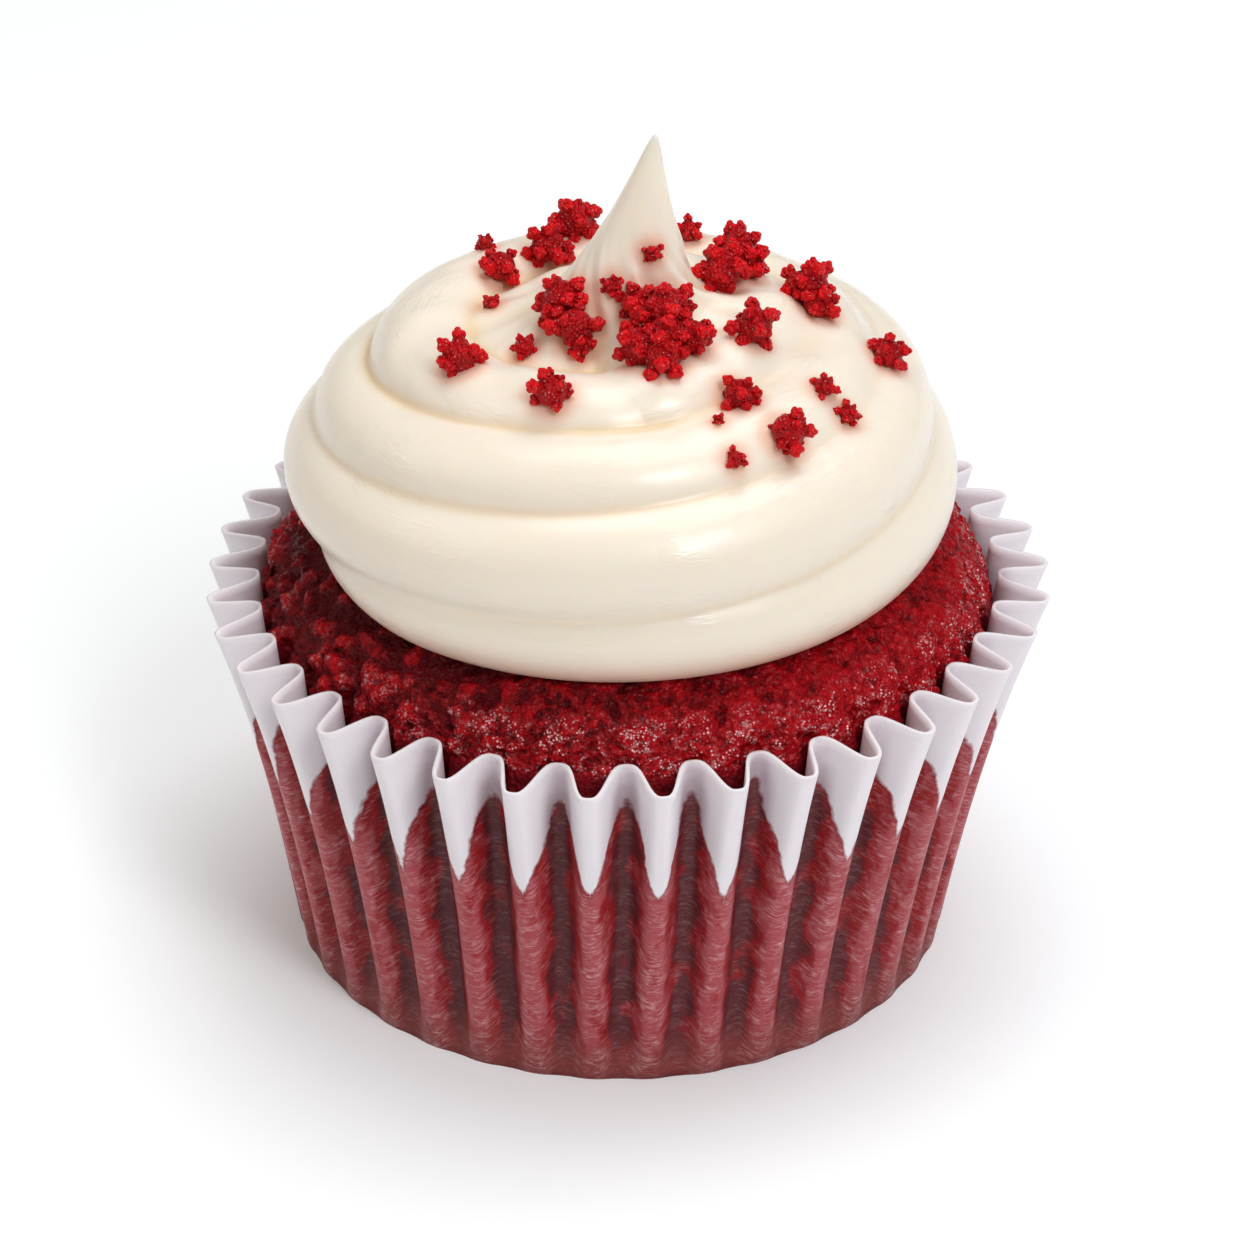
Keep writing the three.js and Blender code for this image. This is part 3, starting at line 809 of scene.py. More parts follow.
@dataclass
class Sponge:
    """The sponge: a low craggy dome over sides that the case has moulded."""

    case: PaperCase
    gap: float = 0.3
    dome_reach: float = 32.3
    dome_rise: float = 13.2
    shoulder: float = 31.4
    side_spread: float = 0.235
    side_clearance: float = 0.06
    lump_width: float = 2.3
    grain_width: float = 0.9
    hole_width: float = 1.7
    lump_relief: float = 0.9
    grain_relief: float = 0.26
    hole_depth: float = 0.5
    bend: float = 2.0
    fine_share: float = 0.36
    hollow_from: float = 0.1
    hollow_to: float = -0.55
    steps_per_fold: int = 20
    side_levels: int = 8
    edge_levels: int = 12
    edge_from: float = 26.0
    crag_rings: int = 60
    crown_rings: int = 6
    crown_tilt: float = 42.0
    skin_tilts: tuple[float, float] = (2.0, 9.0)
    rise_tilts: tuple[float, float] = (1.0, 8.0)
    frosting_shade_tilts: tuple[float, float] = (16.0, 32.0)
    edge_share: float = 0.25
    # Painted light: the second side mark makes the sponge's right side lighter, where the key
    # light falls.
    sides: tuple[tuple[str, float, float, float], ...] = (
        ("coarse", 190.0, 0.3, 0.95),
        ("airy", 325.0, 0.3, 1.0),
    )

    def dome_height(self, reach: Array) -> Array:
        """Gives the dome's height at a distance from the axis."""
        share = np.minimum(reach / self.dome_reach, 1.0)
        return self.shoulder + self.dome_rise * np.sqrt(1 - share**2)

    def side_reach(self, angle: Array, z: Array) -> Array:
        """Gives the side, which swells under the shoulder until the paper holds it back."""
        free = self.dome_reach + self.side_spread * (self.shoulder - z)
        slant = (2 / self.case.folds + self.side_clearance) * self.case.fold_depth(z)
        held = self.case.reach(angle, z) - self.case.paper - self.gap - slant
        return np.minimum(free, held)

    def build(self) -> Piece:
        """Makes the smooth sponge, then lets its crumb rise on it.

        Returns:
            The sponge, which stands for the part's own one.
        """
        sides = self.case.folds * self.steps_per_fold
        angle = TAU * np.arange(sides) / sides + math.radians(self.case.first_fold)
        floor = self.case.paper + self.gap
        low = np.linspace(floor, self.edge_from, self.side_levels, endpoint=False)
        high = np.linspace(self.edge_from, self.shoulder, self.edge_levels)
        levels = np.concatenate([low, high])
        turn, z = np.meshgrid(angle, levels)
        skew = self.case.skew * (1 - z / self.case.height)
        side = self._ring(turn, self.side_reach(turn, z), z, skew)
        crags = np.linspace(1.0, self.crown_tilt, self.crag_rings)
        crown = np.linspace(self.crown_tilt, 90.0, self.crown_rings + 2)[1:-1]
        tilts = np.radians(np.concatenate([crags, crown]))
        turn, tilt = np.meshgrid(angle, tilts)
        free = self.dome_reach * np.cos(tilt)
        held = np.minimum(free, self.side_reach(turn, self.shoulder))
        dome = self._ring(turn, held, self.shoulder + self.dome_rise * np.sin(tilt), 0.0)
        rings = np.concatenate([side, dome])
        bottom = np.array([0.0, 0.0, floor])
        middle = np.array([0.0, 0.0, self.shoulder + self.dome_rise])
        points = skin_points(bottom, rings, middle)
        sponge = new_object("sponge", points, skin_faces(len(rings), sides))
        self._mark(sponge, levels, tilts, angle)
        widths = ("Lump Width", "Grain Width", "Hole Width")
        values = measures(self, *widths, "Lump Relief", "Grain Relief", "Hole Depth")
        values["Sponge"] = RedVelvetSponge().material()
        grown(sponge, self._rising_tree(values), values)
        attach(sponge, "root")
        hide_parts("cake")
        return sponge

    def _ring(self, angle: Array, reach: Array, z: Array, shift: Array | float) -> Array:
        """Places points round the axis, moved sideways by a shift."""
        return np.stack([reach * np.cos(angle) + shift, reach * np.sin(angle), z], axis=-1)

    def _mark(self, sponge: Piece, levels: Array, tilts: Array, angle: Array) -> None:
        """Marks where the sponge is open crumb or skin, where it gets painted shade under the
        frosting, where it is coarse, and its right side, painted lighter.

        Args:
            sponge: The smooth sponge.
            levels: The heights of its side rings.
            tilts: The tilts of its dome rings.
            angle: The directions of the vertices of a ring.
        """
        degrees = np.degrees(tilts)
        skin = np.concatenate([np.ones(len(levels)), 1 - smoothstep(degrees, *self.skin_tilts)])
        edge = self.edge_share * smoothstep(levels, self.edge_from, self.shoulder)
        dome = self.edge_share + (1 - self.edge_share) * smoothstep(degrees, *self.rise_tilts)
        rise = np.concatenate([edge, dome])
        # Painted shade: the ring of crumb just under the frosting's lip is marked for darkening.
        covered = smoothstep(degrees, *self.frosting_shade_tilts)
        covered = np.concatenate([np.zeros(len(levels)), covered])
        for name, ring in (("skin", skin), ("rise", rise), ("covered", covered)):
            whole = np.repeat(ring, len(angle))
            give(sponge, name, np.concatenate([[ring[0]], whole, [ring[-1]]]))
        for name, azimuth, low, high in self.sides:
            ring = smoothstep(np.cos(angle - math.radians(azimuth)), low, high)
            give(sponge, name, np.concatenate([[0.0], np.tile(ring, len(skin)), [0.0]]))

    def _rising_tree(self, values: dict[str, Any]) -> Tree:
        """Builds the tree that raises lumps and grains, opens holes and marks the hollows."""
        tree = growing_tree("Risen crumb", values)
        size = tree.nodes[0].outputs
        here = add(tree, "GeometryNodeInputPosition")
        rise, coarse = (add(tree, NAMED, name) for name in ("rise", "coarse"))
        lump, grain, hole = (
            add(tree, OVER, 1.0, size[name])
            for name in ("Lump Width", "Grain Width", "Hole Width")
        )
        sway = add(tree, NOISE, {"Vector": here, "Scale": lump, "Detail": 2.0})
        bend = (self.bend * MM, self.bend * MM, self.bend * MM)
        bent = add(tree, VECTOR_TIMES_PLUS, sway.outputs["Color"], bend, here)
        lumps, grains = (
            add(tree, ROUND_CELLS, {"Vector": bent, "Scale": scale, "Smoothness": 0.3})
            for scale in (lump, grain)
        )
        holes = add(tree, NOISE, {"Vector": here, "Scale": hole, "Detail": 3.0, "Roughness": 0.6})
        share = add(tree, RANGE, coarse, 0.0, 1.0, self.fine_share, 1.0)
        total: Any = 0.0
        for texture, ends, where, relief in (
            (lumps, (0.1, 0.7, 0.5, -0.7), share, "Lump Relief"),
            (grains, (0.1, 0.7, 0.5, -0.6), 1.0, "Grain Relief"),
            (holes, (0.44, 0.32, 0.0, -1.0), 1.0, "Hole Depth"),
        ):
            there = add(tree, TIMES, add(tree, RANGE, texture, *ends), where)
            total = add(tree, TIMES_PLUS, there, size[relief], total)
        raised = add(tree, TIMES, total, rise)
        outward = add(tree, VECTOR_SCALE, add(tree, "GeometryNodeInputNormal"), raised)
        hollow = add(tree, RANGE, raised, self.hollow_from * MM, self.hollow_to * MM)
        marked = {"Geometry": size["Geometry"], "Name": "hollow", "Value": hollow}
        risen = add(tree, MOVE, {"Geometry": add(tree, STORE, marked), "Offset": outward})
        finish_tree(tree, risen, size["Sponge"])
        return tree


# ---- The frosting ----


@dataclass(frozen=True)
class RopeLevel:
    """A level that the rope climbs to, between two places counted in turns from the front."""

    start: float
    end: float
    reach: float
    height: float
    width: float
    rise: float

    @property
    def sizes(self) -> tuple[float, float, float, float]:
        """The middle's distance from the axis and height, and half the width and height."""
        return (self.reach, self.height, self.width, self.rise)


@dataclass
class PipedSwirl:
    """The frosting: a rope piped in a rising spiral that ends in a tall leaning peak."""

    sponge: Sponge
    reach: float = 29.3
    middle: float = 43.4
    rise: float = 17.8
    tuck: float = 10.4
    lip_angle: float = -28.0
    rope_start: float = -0.34
    rope_end: float = 3.9
    fade_in: float = 0.24
    fade_out: float = 0.7
    front: float = 270.0
    groove_depth: float = 2.1
    crease: float = 0.6
    peak_softness: float = 1.8
    # Painted light: how far the red glow reaches up from the lip.
    lip_glow_reach: float = 3.0
    smoothed_side: float = 350.0
    smoothed_low: float = 0.5
    smoothed_high: float = 1.15
    smoothed_from: float = 49.5
    smoothed_to: float = 53.5
    smoothed_spread: float = 0.7
    peak_top: float = 76.0
    peak_root: float = 50.0
    peak_spread: float = 7.0
    peak_tip: float = 0.4
    peak_base: float = 13.0
    peak_blend: float = 0.6
    peak_lean: float = 2.9
    lean_from: float = 57.0
    shift: float = -0.4
    columns: int = 320
    rings: int = 230
    underside_rings: int = 3
    outline_steps: int = 600
    surface_steps: int = 14
    fall_steps: int = 60
    fall_share: float = 0.8
    crease_height: float = 61.5
    crease_spread: float = 4.2
    crease_depth: float = 0.2
    crease_twist: float = 0.16
    twist_from: float = 60.0
    crease_waves: tuple[tuple[int, float, float], ...] = (
        (5, 1.0, 0.0),
        (9, 0.7, 1.0),
        (16, 0.5, 0.0),
    )
    # Painted light: how strong the red glow is by the crumbs and the lip, and how far it reaches.
    red_glow: float = 0.5
    glow_from: float = 0.45
    glow_reach: float = 0.8
    lip_glow: float = 0.6
    flow_reach: float = 4.5
    blur_steps: int = 45
    full_groove: float = 0.42
    groove_power: float = 1.2
    levels: tuple[RopeLevel, ...] = (
        RopeLevel(-1, -0.5, 24.5, 42.2, 4.3, 4.2),
        RopeLevel(-0.08, 0.42, 23.3, 45.1, 6.0, 6.7),
        RopeLevel(0.35, 0.75, 23.8, 44.8, 5.5, 4.6),
        RopeLevel(0.6, 1.02, 23.2, 47.2, 5.7, 5.6),
        RopeLevel(0.85, 1.35, 21.4, 50.8, 5.2, 5.2),
        RopeLevel(1.3, 1.68, 22.3, 49.8, 4.3, 3.4),
        RopeLevel(1.64, 1.95, 20.6, 51.6, 5.0, 5.0),
        RopeLevel(1.78, 2.2, 17.5, 53.8, 4.9, 4.4),
        RopeLevel(2.62, 3.18, 11.2, 56.3, 4.8, 4.4),
    )

    def peak_height(self, reach: Array) -> Array:
        """Gives the peak's height at a distance from its middle."""
        from_tip = np.hypot(reach, self.peak_tip) - self.peak_tip
        rise = self.peak_top - self.peak_root
        return self.peak_root + rise * np.exp(-from_tip / self.peak_spread)

    def rope_at(self, turn: Array) -> tuple[Array, Array, Array, Array]:
        """Finds the rope after so many turns from the front.

        Args:
            turn: The number of turns.

        Returns:
            Its middle's distance from the axis and height, and half its width and height.
        """
        first = self.levels[0]
        sizes = [np.full_like(turn, size) for size in first.sizes]
        for level in self.levels:
            share = smoothstep(turn, level.start, level.end)
            sizes = [size + (end - size) * share for size, end in zip(sizes, level.sizes)]
        fade = smoothstep(turn, self.rope_start, self.rope_start + self.fade_in)
        fade = fade * (1 - smoothstep(turn, self.rope_end - self.fade_out, self.rope_end))
        return sizes[0], sizes[1], sizes[2] * fade, sizes[3] * fade

    def _body_depth(self, angle: Array, reach: Array, z: Array) -> Array:
        """Measures how far a point lies inside the smooth body that the rope is laid round."""
        facing = np.cos(angle - math.radians(self.smoothed_side))
        side = np.maximum(facing, 0) ** self.smoothed_spread
        height = smoothstep(z, self.smoothed_from, self.smoothed_to)
        close = self.smoothed_low + (self.smoothed_high - self.smoothed_low) * height
        rise = np.where(z > self.middle, self.rise, self.tuck)
        level = np.hypot(reach / self.reach, (z - self.middle) / rise)
        return (1 - level) * rise - self.groove_depth * (1 - side * close)

    def depth(self, angle: Array, reach: Array, z: Array) -> Array:
        """Measures how far a point lies inside the frosting, below 0 outside it."""
        depth = self._body_depth(angle, reach, z)
        part = (angle - math.radians(self.front)) / TAU
        part = part - np.floor(part)
        for whole in range(-1, math.ceil(self.rope_end)):
            turn = part + whole
            out, height, width, rise = self.rope_at(turn)
            laid = (turn > self.rope_start) & (turn < self.rope_end) & (width > 0)
            width, rise = np.where(laid, width, 1.0), np.where(laid, rise, 1.0)
            inside = (1 - np.hypot((reach - out) / width, (z - height) / rise)) * width
            depth = np.where(laid, smooth_max(depth, inside, self.crease), depth)
        under = (self.peak_height(reach) - z) * self.peak_blend
        return smooth_max(depth, np.minimum(under, self.peak_base - reach), self.peak_softness)

    def _outline(self) -> tuple[Array, Array]:
        """Finds the whole swirl's outline from its lip to its tip, in equal steps.

        Returns:
            Points and outward normals, each as rows of distance from the axis and height.
        """
        tilt = np.radians(np.linspace(self.lip_angle, 90.0, self.outline_steps))
        rise = np.where(tilt > 0, self.rise, self.tuck)
        reach = self.reach * np.cos(tilt)
        ball = self.middle + rise * np.sin(tilt)
        peaked = smooth_max(ball, self.peak_height(reach), self.peak_softness / 2)
        line = np.stack([reach, np.where(reach < self.peak_base, peaked, ball)], axis=-1)
        walked = np.concatenate([[0.0], np.cumsum(np.hypot(*np.diff(line, axis=0).T))])
        share = np.arange(self.rings) / self.rings * walked[-1]
        points = np.stack([np.interp(share, walked, line[:, i]) for i in (0, 1)], axis=-1)
        along = np.gradient(points, axis=0)
        along /= np.hypot(*along.T)[:, None]
        return points, np.stack([along[:, 1], -along[:, 0]], axis=-1)

    def lean(self, points: Array) -> Array:
        """Moves points aside as the swirl sits and as its peak leans."""
        share = np.maximum(points[..., 2] - self.lean_from, 0) / (self.peak_top - self.lean_from)
        moved = points.copy()
        moved[..., 0] += self.shift + self.peak_lean * share
        return moved

    def top(self, angle: float, reach: float) -> float:
        """Finds the frosting's height over a place by coming down on it from above."""
        at, out, z = np.array([angle]), np.array([reach]), np.array([self.peak_top])
        for _ in range(self.fall_steps):
            z = z + self.depth(at, out, z) * self.fall_share
        return float(z[0])

    def _creases(self, angle: Array, z: Array) -> Array:
        """Folds the foot of the peak where the cream was twisted off the nozzle."""
        foot = np.exp(-(((z - self.crease_height) / self.crease_spread) ** 2))
        twist = angle + self.crease_twist * (z - self.twist_from)
        waves = sum(share * np.cos(n * twist + start) for n, share, start in self.crease_waves)
        return self.crease_depth * foot * waves

    def _rest(self, points: Array) -> Array:
        """Gives the height at which the frosting rests on the sponge under each point."""
        reach = np.hypot(points[..., 0], points[..., 1])
        return self.sponge.dome_height(reach) + self.sponge.gap

    def _outside(self, angle: Array) -> Array:
        """Steps from the outline to the real surface along the outline's own normals."""
        base, normal = self._outline()
        base_r, turn = np.meshgrid(base[:, 0], angle, indexing="ij")
        base_z = np.broadcast_to(base[:, 1:2], base_r.shape)
        out_r, out_z = normal[:, 0:1], normal[:, 1:2]
        offset = np.zeros_like(base_r)
        for _ in range(self.surface_steps):
            reach, z = np.abs(base_r + out_r * offset), base_z + out_z * offset
            offset = offset + self.depth(turn, reach, z)
        offset = offset + self._creases(turn, base_z)
        reach, z = base_r + out_r * offset, base_z + out_z * offset
        rings = self.lean(np.stack([reach * np.cos(turn), reach * np.sin(turn), z], axis=-1))
        rest = self._rest(rings)
        rings[..., 2] = np.maximum(rings[..., 2], rest)
        rings[0, :, 2] = rest[0]
        return rings

    def build(self, crumbs: list["CrumbSpot"]) -> Piece:
        """Makes the swirl as one closed skin.

        Args:
            crumbs: Where crumbs lie, which cast a painted red glow on the cream.

        Returns:
            The swirl, which with the crumbs stands for the part's own frosting.
        """
        angle = TAU * np.arange(self.columns) / self.columns
        outer = self._outside(angle)
        shares = np.arange(1, self.underside_rings + 1) / (self.underside_rings + 1)
        under = shares[:, None, None] * outer[0][None]
        under[..., 2] = self._rest(under)
        rings = np.concatenate([under, outer])
        middle = np.array([0.0, 0.0, float(self._rest(np.zeros(2)))])
        tip = self.lean(np.array([0.0, 0.0, self.peak_top]))
        points = skin_points(middle, rings, tip)
        swirl = new_object("piped_swirl", points, skin_faces(len(rings), self.columns))
        swirl.data.materials.append(CreamCheeseFrosting().material())
        self._mark(swirl, points, outer, angle, crumbs)
        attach(swirl, "root")
        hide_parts("frosting")
        return swirl

    def _mark(
        self, swirl: Piece, points: Array, outer: Array, angle: Array, crumbs: list["CrumbSpot"]
    ) -> None:
        """Marks the grooves, the painted red glow by the crumbs and the lip, and the way that the
        rope runs.

        Args:
            swirl: The swirl.
            points: Its vertices in order.
            outer: Its outer rings.
            angle: The directions of the vertices of a ring.
            crumbs: Where crumbs lie.
        """
        hidden = 1 + self.underside_rings * self.columns
        # Painted shade: how deep each point lies in a groove, for the warm tint.
        groove = np.zeros(len(points))
        groove[hidden:-1] = self._grooves(outer).ravel()
        give(swirl, "groove", groove)
        # Painted light: a red glow on the cream near each crumb and along the lip over the sponge,
        # kept under the name stain.
        stain = np.zeros(len(points))
        for spot in crumbs:
            away = np.linalg.norm(points - spot.centre, axis=1) - self.glow_from * spot.width
            stain = np.maximum(stain, self.red_glow * self._fading(away, self.glow_reach))
        over = points[:, 2] - self._rest(points) + self.sponge.gap
        stain = np.maximum(stain, self.lip_glow * self._fading(over, self.lip_glow_reach))
        give(swirl, "stain", stain)
        steps = np.linalg.norm(np.diff(outer, axis=0, prepend=outer[:1]), axis=-1)
        round_it = self.flow_reach * np.stack([np.cos(angle), np.sin(angle)], axis=-1)
        flow = np.zeros((len(points), 3))
        flow[hidden:-1, :2] = np.tile(round_it, (len(outer), 1))
        flow[hidden:-1, 2] = np.cumsum(steps, axis=0).ravel()
        flow[-1] = flow[-2]
        give(swirl, "flow", flow)

    @staticmethod
    def _fading(away: Array, reach: float) -> Array:
        """Falls from 1 at no distance to nothing a little over a reach away."""
        return np.exp(-((np.maximum(away, 0) / reach) ** 2))

    def _grooves(self, outer: Array) -> Array:
        """Measures how far each point of the outer rings lies under the surface round it."""
        blurred = outer.copy()
        for _ in range(self.blur_steps):
            sides = (np.roll(blurred, 1, axis=1) + np.roll(blurred, -1, axis=1)) / 2
            padded = np.concatenate([blurred[:1], blurred, blurred[-1:]])
            blurred = (sides + (padded[:-2] + padded[2:]) / 2) / 2
        along = np.gradient(outer, axis=0)
        across = np.roll(outer, -1, axis=1) - np.roll(outer, 1, axis=1)
        normal = np.cross(across, along)
        normal /= np.linalg.norm(normal, axis=-1, keepdims=True) + 1e-9
        sunk = ((blurred - outer) * normal).sum(axis=-1)
        return np.clip(sunk / self.full_groove, 0, 1) ** self.groove_power


# ---- The crumbs ----


@dataclass(frozen=True)
class CrumbSpot:
    """One grain of crumb on the frosting: its middle, width and turn."""

    centre: Array
    width: float
    turn: tuple[float, float, float]


@dataclass
class CrumbTopping:
    """The crumbs on top: knobbly grains, alone or in piles."""

    swirl: PipedSwirl
    grain: float = 4.6
    small: float = 3.0
    crowding: float = 1.25
    lobe_draws: tuple[int, int] = (12, 6)
    sizes: tuple[float, float] = (0.9, 1.1)
    stack: float = 0.9
    sink: float = 0.22
    turn_step: float = 2.4
    knobs: int = 3
    roughening: float = 0.22
    roughening_width: float = 0.42
    seed: int = 7
    arm_reach: float = 0.86
    core_size: float = 0.63
    stem_size: float = 0.31
    end_size: float = 0.25
    knob_size: float = 0.14
    arm_tilt: float = 0.38
    arm_lengths: tuple[float, float] = (0.76, 1.14)
    knob_spread: float = 0.19
    knob_height: float = 0.93
    piles: tuple[tuple[float, float, float], ...] = (
        (287, 8.7, 11.6), (9, 16.0, 7.0), (34, 11.4, 7.2), (207, 6.5, 5.4), (104, 18.0, 5.2),
        (309, 22.0, 5.0), (327, 12.6, 4.9), (116, 15.2, 4.8), (232, 7.2, 4.6), (213, 16.7, 4.5),
        (16, 8.1, 5.2), (248, 16.4, 4.3), (136, 14.9, 4.1), (355, 22.9, 4.0), (305, 16.7, 3.8),
        (71, 17.4, 2.9), (212, 9.9, 2.7), (242, 7.9, 2.5), (247, 4.9, 2.4), (328, 22.4, 2.4),
        (327, 20.1, 2.3), (129, 19.4, 2.2), (295, 22.3, 2.2), (158, 12.1, 2.1), (288, 3.7, 2.1),
        (295, 18.7, 1.4),
    )

    def spots(self) -> list[CrumbSpot]:
        """Works out where each grain lies, in the order in which they fall."""
        row = RandomRow(self.seed)
        return [spot for pile in self.piles for spot in self._pile(pile, row)]

    def _pile(self, pile: tuple[float, float, float], row: RandomRow) -> Iterator[CrumbSpot]:
        """Heaps one pile: a ring of grains on the frosting and some on top.

        Args:
            pile: Its azimuth in degrees, its distance from the axis and its width.
            row: The random numbers.

        Yields:
            Each grain.
        """
        azimuth, reach, width = math.radians(pile[0]), pile[1], pile[2]
        extra = max(width - self.grain, 0) / 2
        count = max(1, int((width / self.grain) ** 2 * self.crowding + 0.5))
        size = min(width, self.grain)
        middle = reach * np.array([math.cos(azimuth), math.sin(azimuth)])
        for index in range(count):
            turn = index * self.turn_step + row.draw()
            out = extra * math.sqrt(index / max(count - 1, 1))
            x, y = middle + out * np.array([math.cos(turn), math.sin(turn)])
            z = self.swirl.top(math.atan2(y, x), math.hypot(x, y))
            z += size * self.sink + (extra - out) * self.stack
            grain = size * row.between(*self.sizes)
            # The part's own grains draw a number for each lobe here, so the row moves on.
            for _ in range(self.lobe_draws[0] if grain > self.small else self.lobe_draws[1]):
                row.draw()
            tilt, spin = row.draw() * math.pi, row.draw() * TAU
            place = self.swirl.lean(np.array([x, y, z]))
            yield CrumbSpot(place, grain, (tilt, 0.0, spin))

    def build(self, spots: list[CrumbSpot]) -> Piece:
        """Grows a knobbly grain on each spot.

        Args:
            spots: Where the grains lie.

        Returns:
            The crumbs, which with the swirl stand for the part's own frosting.
        """
        crumbs = new_object("velvet_crumbs", np.array([s.centre for s in spots]), [])
        give(crumbs, "width", np.array([s.width for s in spots]) * MM / 2)
        give(crumbs, "turn", np.array([s.turn for s in spots]))
        shares = ("Arm Reach", "Core Size", "Stem Size", "End Size", "Knob Size")
        values = measures(self, "Roughening", "Roughening Width")
        values |= measures(self, *shares, unit=1.0)
        values["Material"] = VelvetCrumb().material()
        grown(crumbs, self._grain_tree(values), values)
        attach(crumbs, "root")
        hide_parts("frosting")
        return crumbs

    def _grain_tree(self, values: dict[str, Any]) -> Tree:
        """Builds the tree that turns each point into a grain with stubby, knobbly arms."""
        tree = growing_tree("Knobbly grain", values)
        size = tree.nodes[0].outputs
        ball, vector = "GeometryNodeMeshIcoSphere", {"data_type": "FLOAT_VECTOR"}
        here, width = add(tree, "GeometryNodeInputPosition"), add(tree, NAMED, "width")
        turn, centre, ahead = (
            add(tree, NAMED, name, **vector) for name in ("turn", "centre", "facing")
        )
        kept = {"Geometry": size["Geometry"], "Name": "centre", "Value": here}
        turned = add(tree, "FunctionNodeEulerToRotation", turn)
        placed = {"Points": add(tree, STORE, kept, **vector), "Rotation": turned, "Scale": width}
        core = add(tree, ball, {"Radius": size["Core Size"], "Subdivisions": 4})
        cores = add(tree, SOW, {**placed, "Instance": core})
        corners = add(tree, ball, {"Radius": 1.0, "Subdivisions": 1})
        ends = add(tree, REAL, add(tree, SOW, {**placed, "Instance": corners}))
        away = add(tree, VECTOR_MINUS, here, centre)
        facing = add(tree, STORE, {"Geometry": ends, "Name": "facing", "Value": away}, **vector)
        roots = add(tree, MOVE, {"Geometry": facing, "Position": centre})
        upright = add(tree, "FunctionNodeAlignRotationToVector", {"Vector": ahead}, axis="Z")
        tilts = {0: (-self.arm_tilt, -self.arm_tilt, 0.0), 1: (self.arm_tilt, self.arm_tilt, TAU)}
        spin = add(tree, "FunctionNodeRandomValue", {**tilts, "Seed": self.seed}, **vector)
        turn_by = add(tree, "FunctionNodeEulerToRotation", spin)
        spun = add(tree, "FunctionNodeRotateRotation", upright, turn_by, rotation_space="LOCAL")
        shortest, longest = self.arm_lengths
        lengths = {2: shortest, 3: longest, "Seed": self.seed + 1}
        length = add(tree, "FunctionNodeRandomValue", lengths, data_type="FLOAT")
        stretch = add(tree, TIMES, width, length)
        arms = add(tree, SOW, {
            "Points": roots, "Instance": self._arm(tree, size), "Rotation": spun, "Scale": stretch,
        })
        joined = add(tree, "GeometryNodeJoinGeometry", cores)
        tree.links.new(arms.outputs[0], joined.inputs[0])
        share = add(tree, OVER, add(tree, VECTOR_LENGTH, away), width)
        marked = {"Geometry": add(tree, REAL, joined), "Name": "arm", "Value": share}
        scale = add(tree, OVER, 1.0, size["Roughening Width"])
        rough = add(tree, NOISE, {"Vector": here, "Scale": scale, "Detail": 1.0})
        centred = add(tree, VECTOR_MINUS, rough.outputs["Color"], (0.5, 0.5, 0.5))
        shift = add(tree, VECTOR_SCALE, centred, size["Roughening"])
        uneven = add(tree, MOVE, {"Geometry": add(tree, STORE, marked), "Offset": shift})
        finish_tree(tree, add(tree, "GeometryNodeSetShadeSmooth", uneven), size["Material"])
        return tree

    def _arm(self, tree: Tree, size: Any) -> Node:
        """Joins one arm that points up: a stem, its round end and the knobs on that.

        Args:
            tree: The grain's tree.
            size: The outputs of the tree's group input.

        Returns:
            The node that holds the arm.
        """
        arm = add(tree, "GeometryNodeJoinGeometry")
        # The size, the sides and the middle of each ball, in shares of the arm's reach.
        balls: list[tuple[str, int, tuple[float, float, float]]] = [
            ("Stem Size", 5, (0.0, 0.0, 0.55)),
            ("End Size", 7, (0.0, 0.0, 0.86)),
            ("Knob Size", 6, (0.0, 0.06, 1.08)),
        ]
        for turn in np.arange(self.knobs) * TAU / self.knobs:
            across, along = self.knob_spread * math.cos(turn), self.knob_spread * math.sin(turn)
            balls.append(("Knob Size", 6, (across, along, self.knob_height)))
        for name, sides, place in balls:
            shape = {"Radius": size[name], "Segments": sides, "Rings": sides - 1}
            ball = add(tree, "GeometryNodeMeshUVSphere", shape)
            reach = add(tree, VECTOR_SCALE, place, size["Arm Reach"])
            moved = add(tree, "GeometryNodeTransform", {"Geometry": ball, "Translation": reach})
            tree.links.new(moved.outputs[0], arm.inputs[0])
        return arm


# ---- The studio ----


@dataclass(frozen=True)
class SoftLight:
    """A softbox: where it hangs, seen from the cupcake, its size and its strength."""

    name: str
    azimuth: float
    elevation: float
    distance: float
    width: float
    height: float
    watts: float
    colour: str


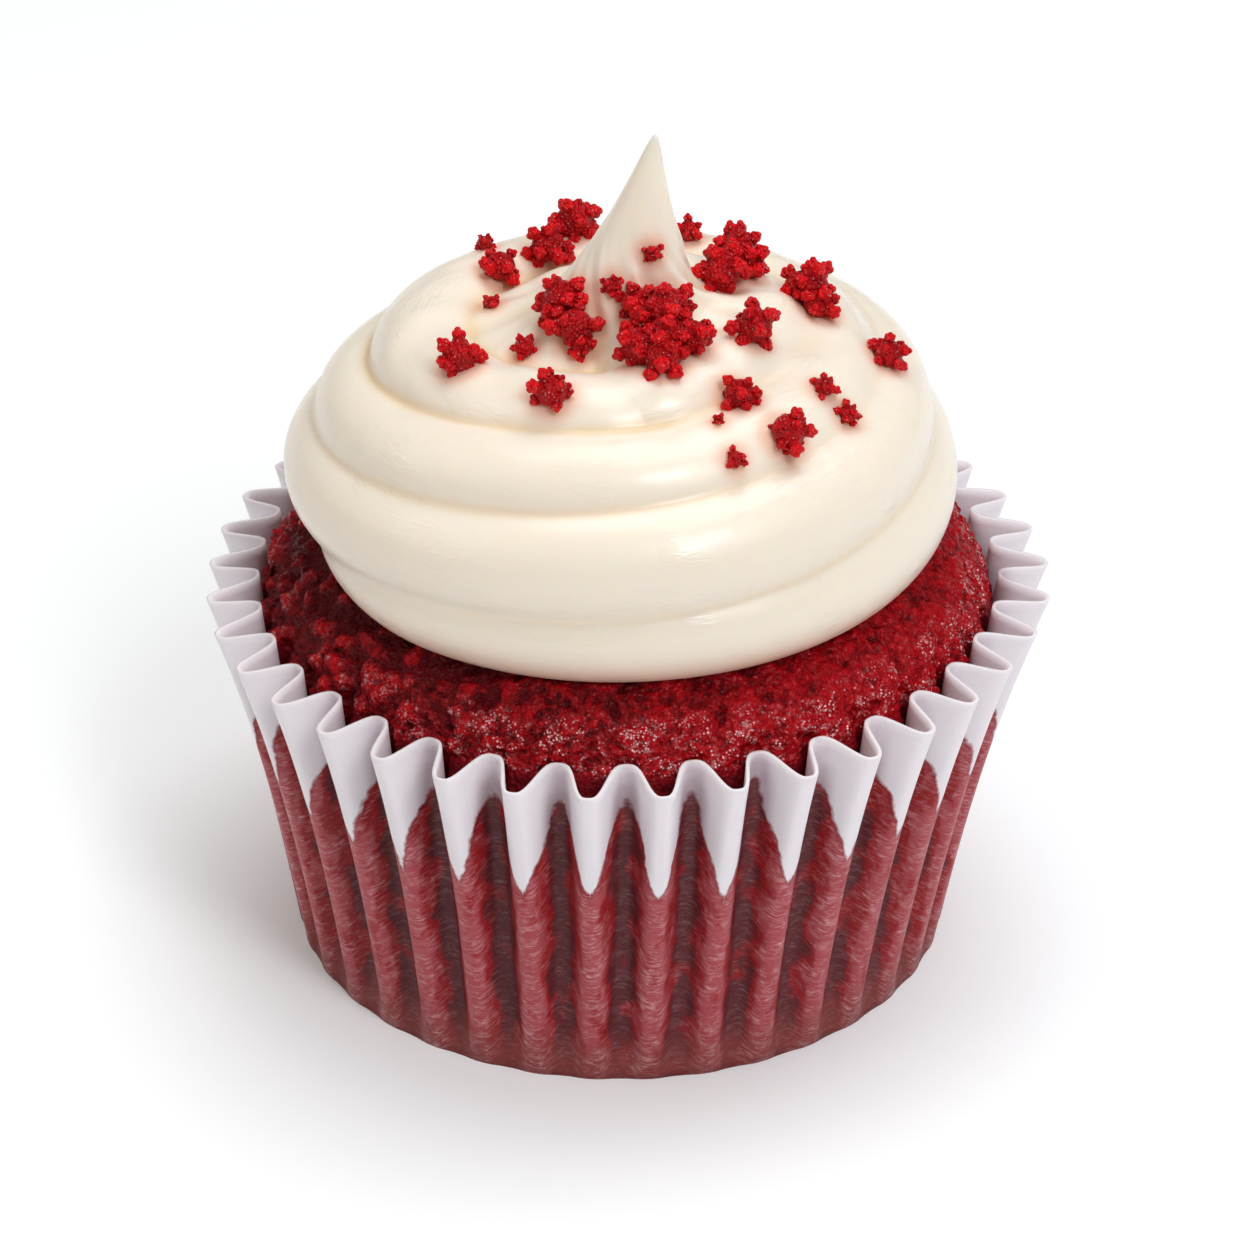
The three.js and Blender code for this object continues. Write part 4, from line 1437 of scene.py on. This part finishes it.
@dataclass
class Studio:
    """The floor, the soft lights and the camera."""

    elevation: float = 31.0
    distance: float = 440.0
    aim: float = 28.0
    light_aim: float = 40.0
    field: float = 14.37
    sensor: float = 36.0
    aside: float = 1.5 / 1254
    floor: float = 6000.0
    world: str = "#ffffff"
    world_strength: float = 0.15
    lights: tuple[SoftLight, ...] = (
        SoftLight("Key softbox", 305, 42, 900, 420, 640, 2.0, "#f6f9ff"),
        SoftLight("Highlight softbox", 299, 47, 800, 150, 240, 1.5, "#ffffff"),
        SoftLight("Overhead softbox", 60, 75, 1000, 800, 800, 6.7, "#ffffff"),
        SoftLight("Fill softbox", 188, 38, 900, 700, 700, 1.5, "#fff6ea"),
    )

    def build(self) -> Piece:
        """Sets the studio up.

        Returns:
            The floor.
        """
        floor = self._floor()
        for light in self.lights:
            self._hang(light)
        self._light_the_world()
        self._camera()
        bpy.context.scene.view_settings.view_transform = "Standard"
        bpy.context.scene.view_settings.look = "None"
        return floor

    def _floor(self) -> Piece:
        """Lays the floor just under the cupcake."""
        corners = np.array([[-1, -1, 0], [1, -1, 0], [1, 1, 0], [-1, 1, 0]]) * self.floor / 2
        floor = new_object("studio_floor", corners, [[0, 1, 2, 3]])
        floor.data.materials.append(StudioPaper().material())
        return floor

    def _hang(self, light: SoftLight) -> None:
        """Hangs one softbox so that it faces the cupcake."""
        data = bpy.data.lights.new(light.name, "AREA")
        data.shape = "RECTANGLE"
        data.size, data.size_y = light.width * MM, light.height * MM
        data.energy = light.watts
        data.color = linear(light.colour)[:3]
        lamp = bpy.data.objects.new(light.name, data)
        azimuth, elevation = math.radians(light.azimuth), math.radians(light.elevation)
        x, y = math.cos(azimuth) * math.cos(elevation), math.sin(azimuth) * math.cos(elevation)
        outward = Vector((x, y, math.sin(elevation)))
        lamp.location = outward * light.distance * MM + Vector((0, 0, self.light_aim * MM))
        lamp.rotation_euler = (-outward).to_track_quat("-Z", "Y").to_euler()
        bpy.context.scene.collection.objects.link(lamp)

    def _light_the_world(self) -> None:
        """Fills the shadows with an even pale light from all round."""
        world = bpy.data.worlds.new("Pale studio")
        world.use_nodes = True
        background = world.node_tree.nodes["Background"]
        background.inputs["Color"].default_value = linear(self.world)
        background.inputs["Strength"].default_value = self.world_strength
        bpy.context.scene.world = world

    def _camera(self) -> None:
        """Places the camera in front of the cupcake, above it and far off."""
        data = bpy.data.cameras.new("Camera")
        data.sensor_width = self.sensor
        data.lens = self.sensor / 2 / math.tan(math.radians(self.field) / 2)
        data.shift_x = self.aside
        camera = bpy.data.objects.new("Camera", data)
        tilt = math.radians(self.elevation)
        back = Vector((0, -math.cos(tilt), math.sin(tilt)))
        camera.location = Vector((0, 0, self.aim * MM)) + back * self.distance * MM
        camera.rotation_euler = (-back).to_track_quat("-Z", "Y").to_euler()
        bpy.context.scene.collection.objects.link(camera)
        bpy.context.scene.camera = camera


def main() -> None:
    """Builds the cupcake round the part's own frame and reports each piece."""
    logging.basicConfig(level=logging.INFO, format="%(name)s: %(message)s")
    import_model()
    case = PaperCase()
    sponge = Sponge(case)
    swirl = PipedSwirl(sponge)
    topping = CrumbTopping(swirl)
    spots = topping.spots()
    pieces = [case.build(), sponge.build(), swirl.build(spots), topping.build(spots)]
    for piece in pieces:
        LOG.info("%s has %d faces", piece.name, len(piece.data.polygons))
    Studio().build()


if __name__ == "__main__":
    main()
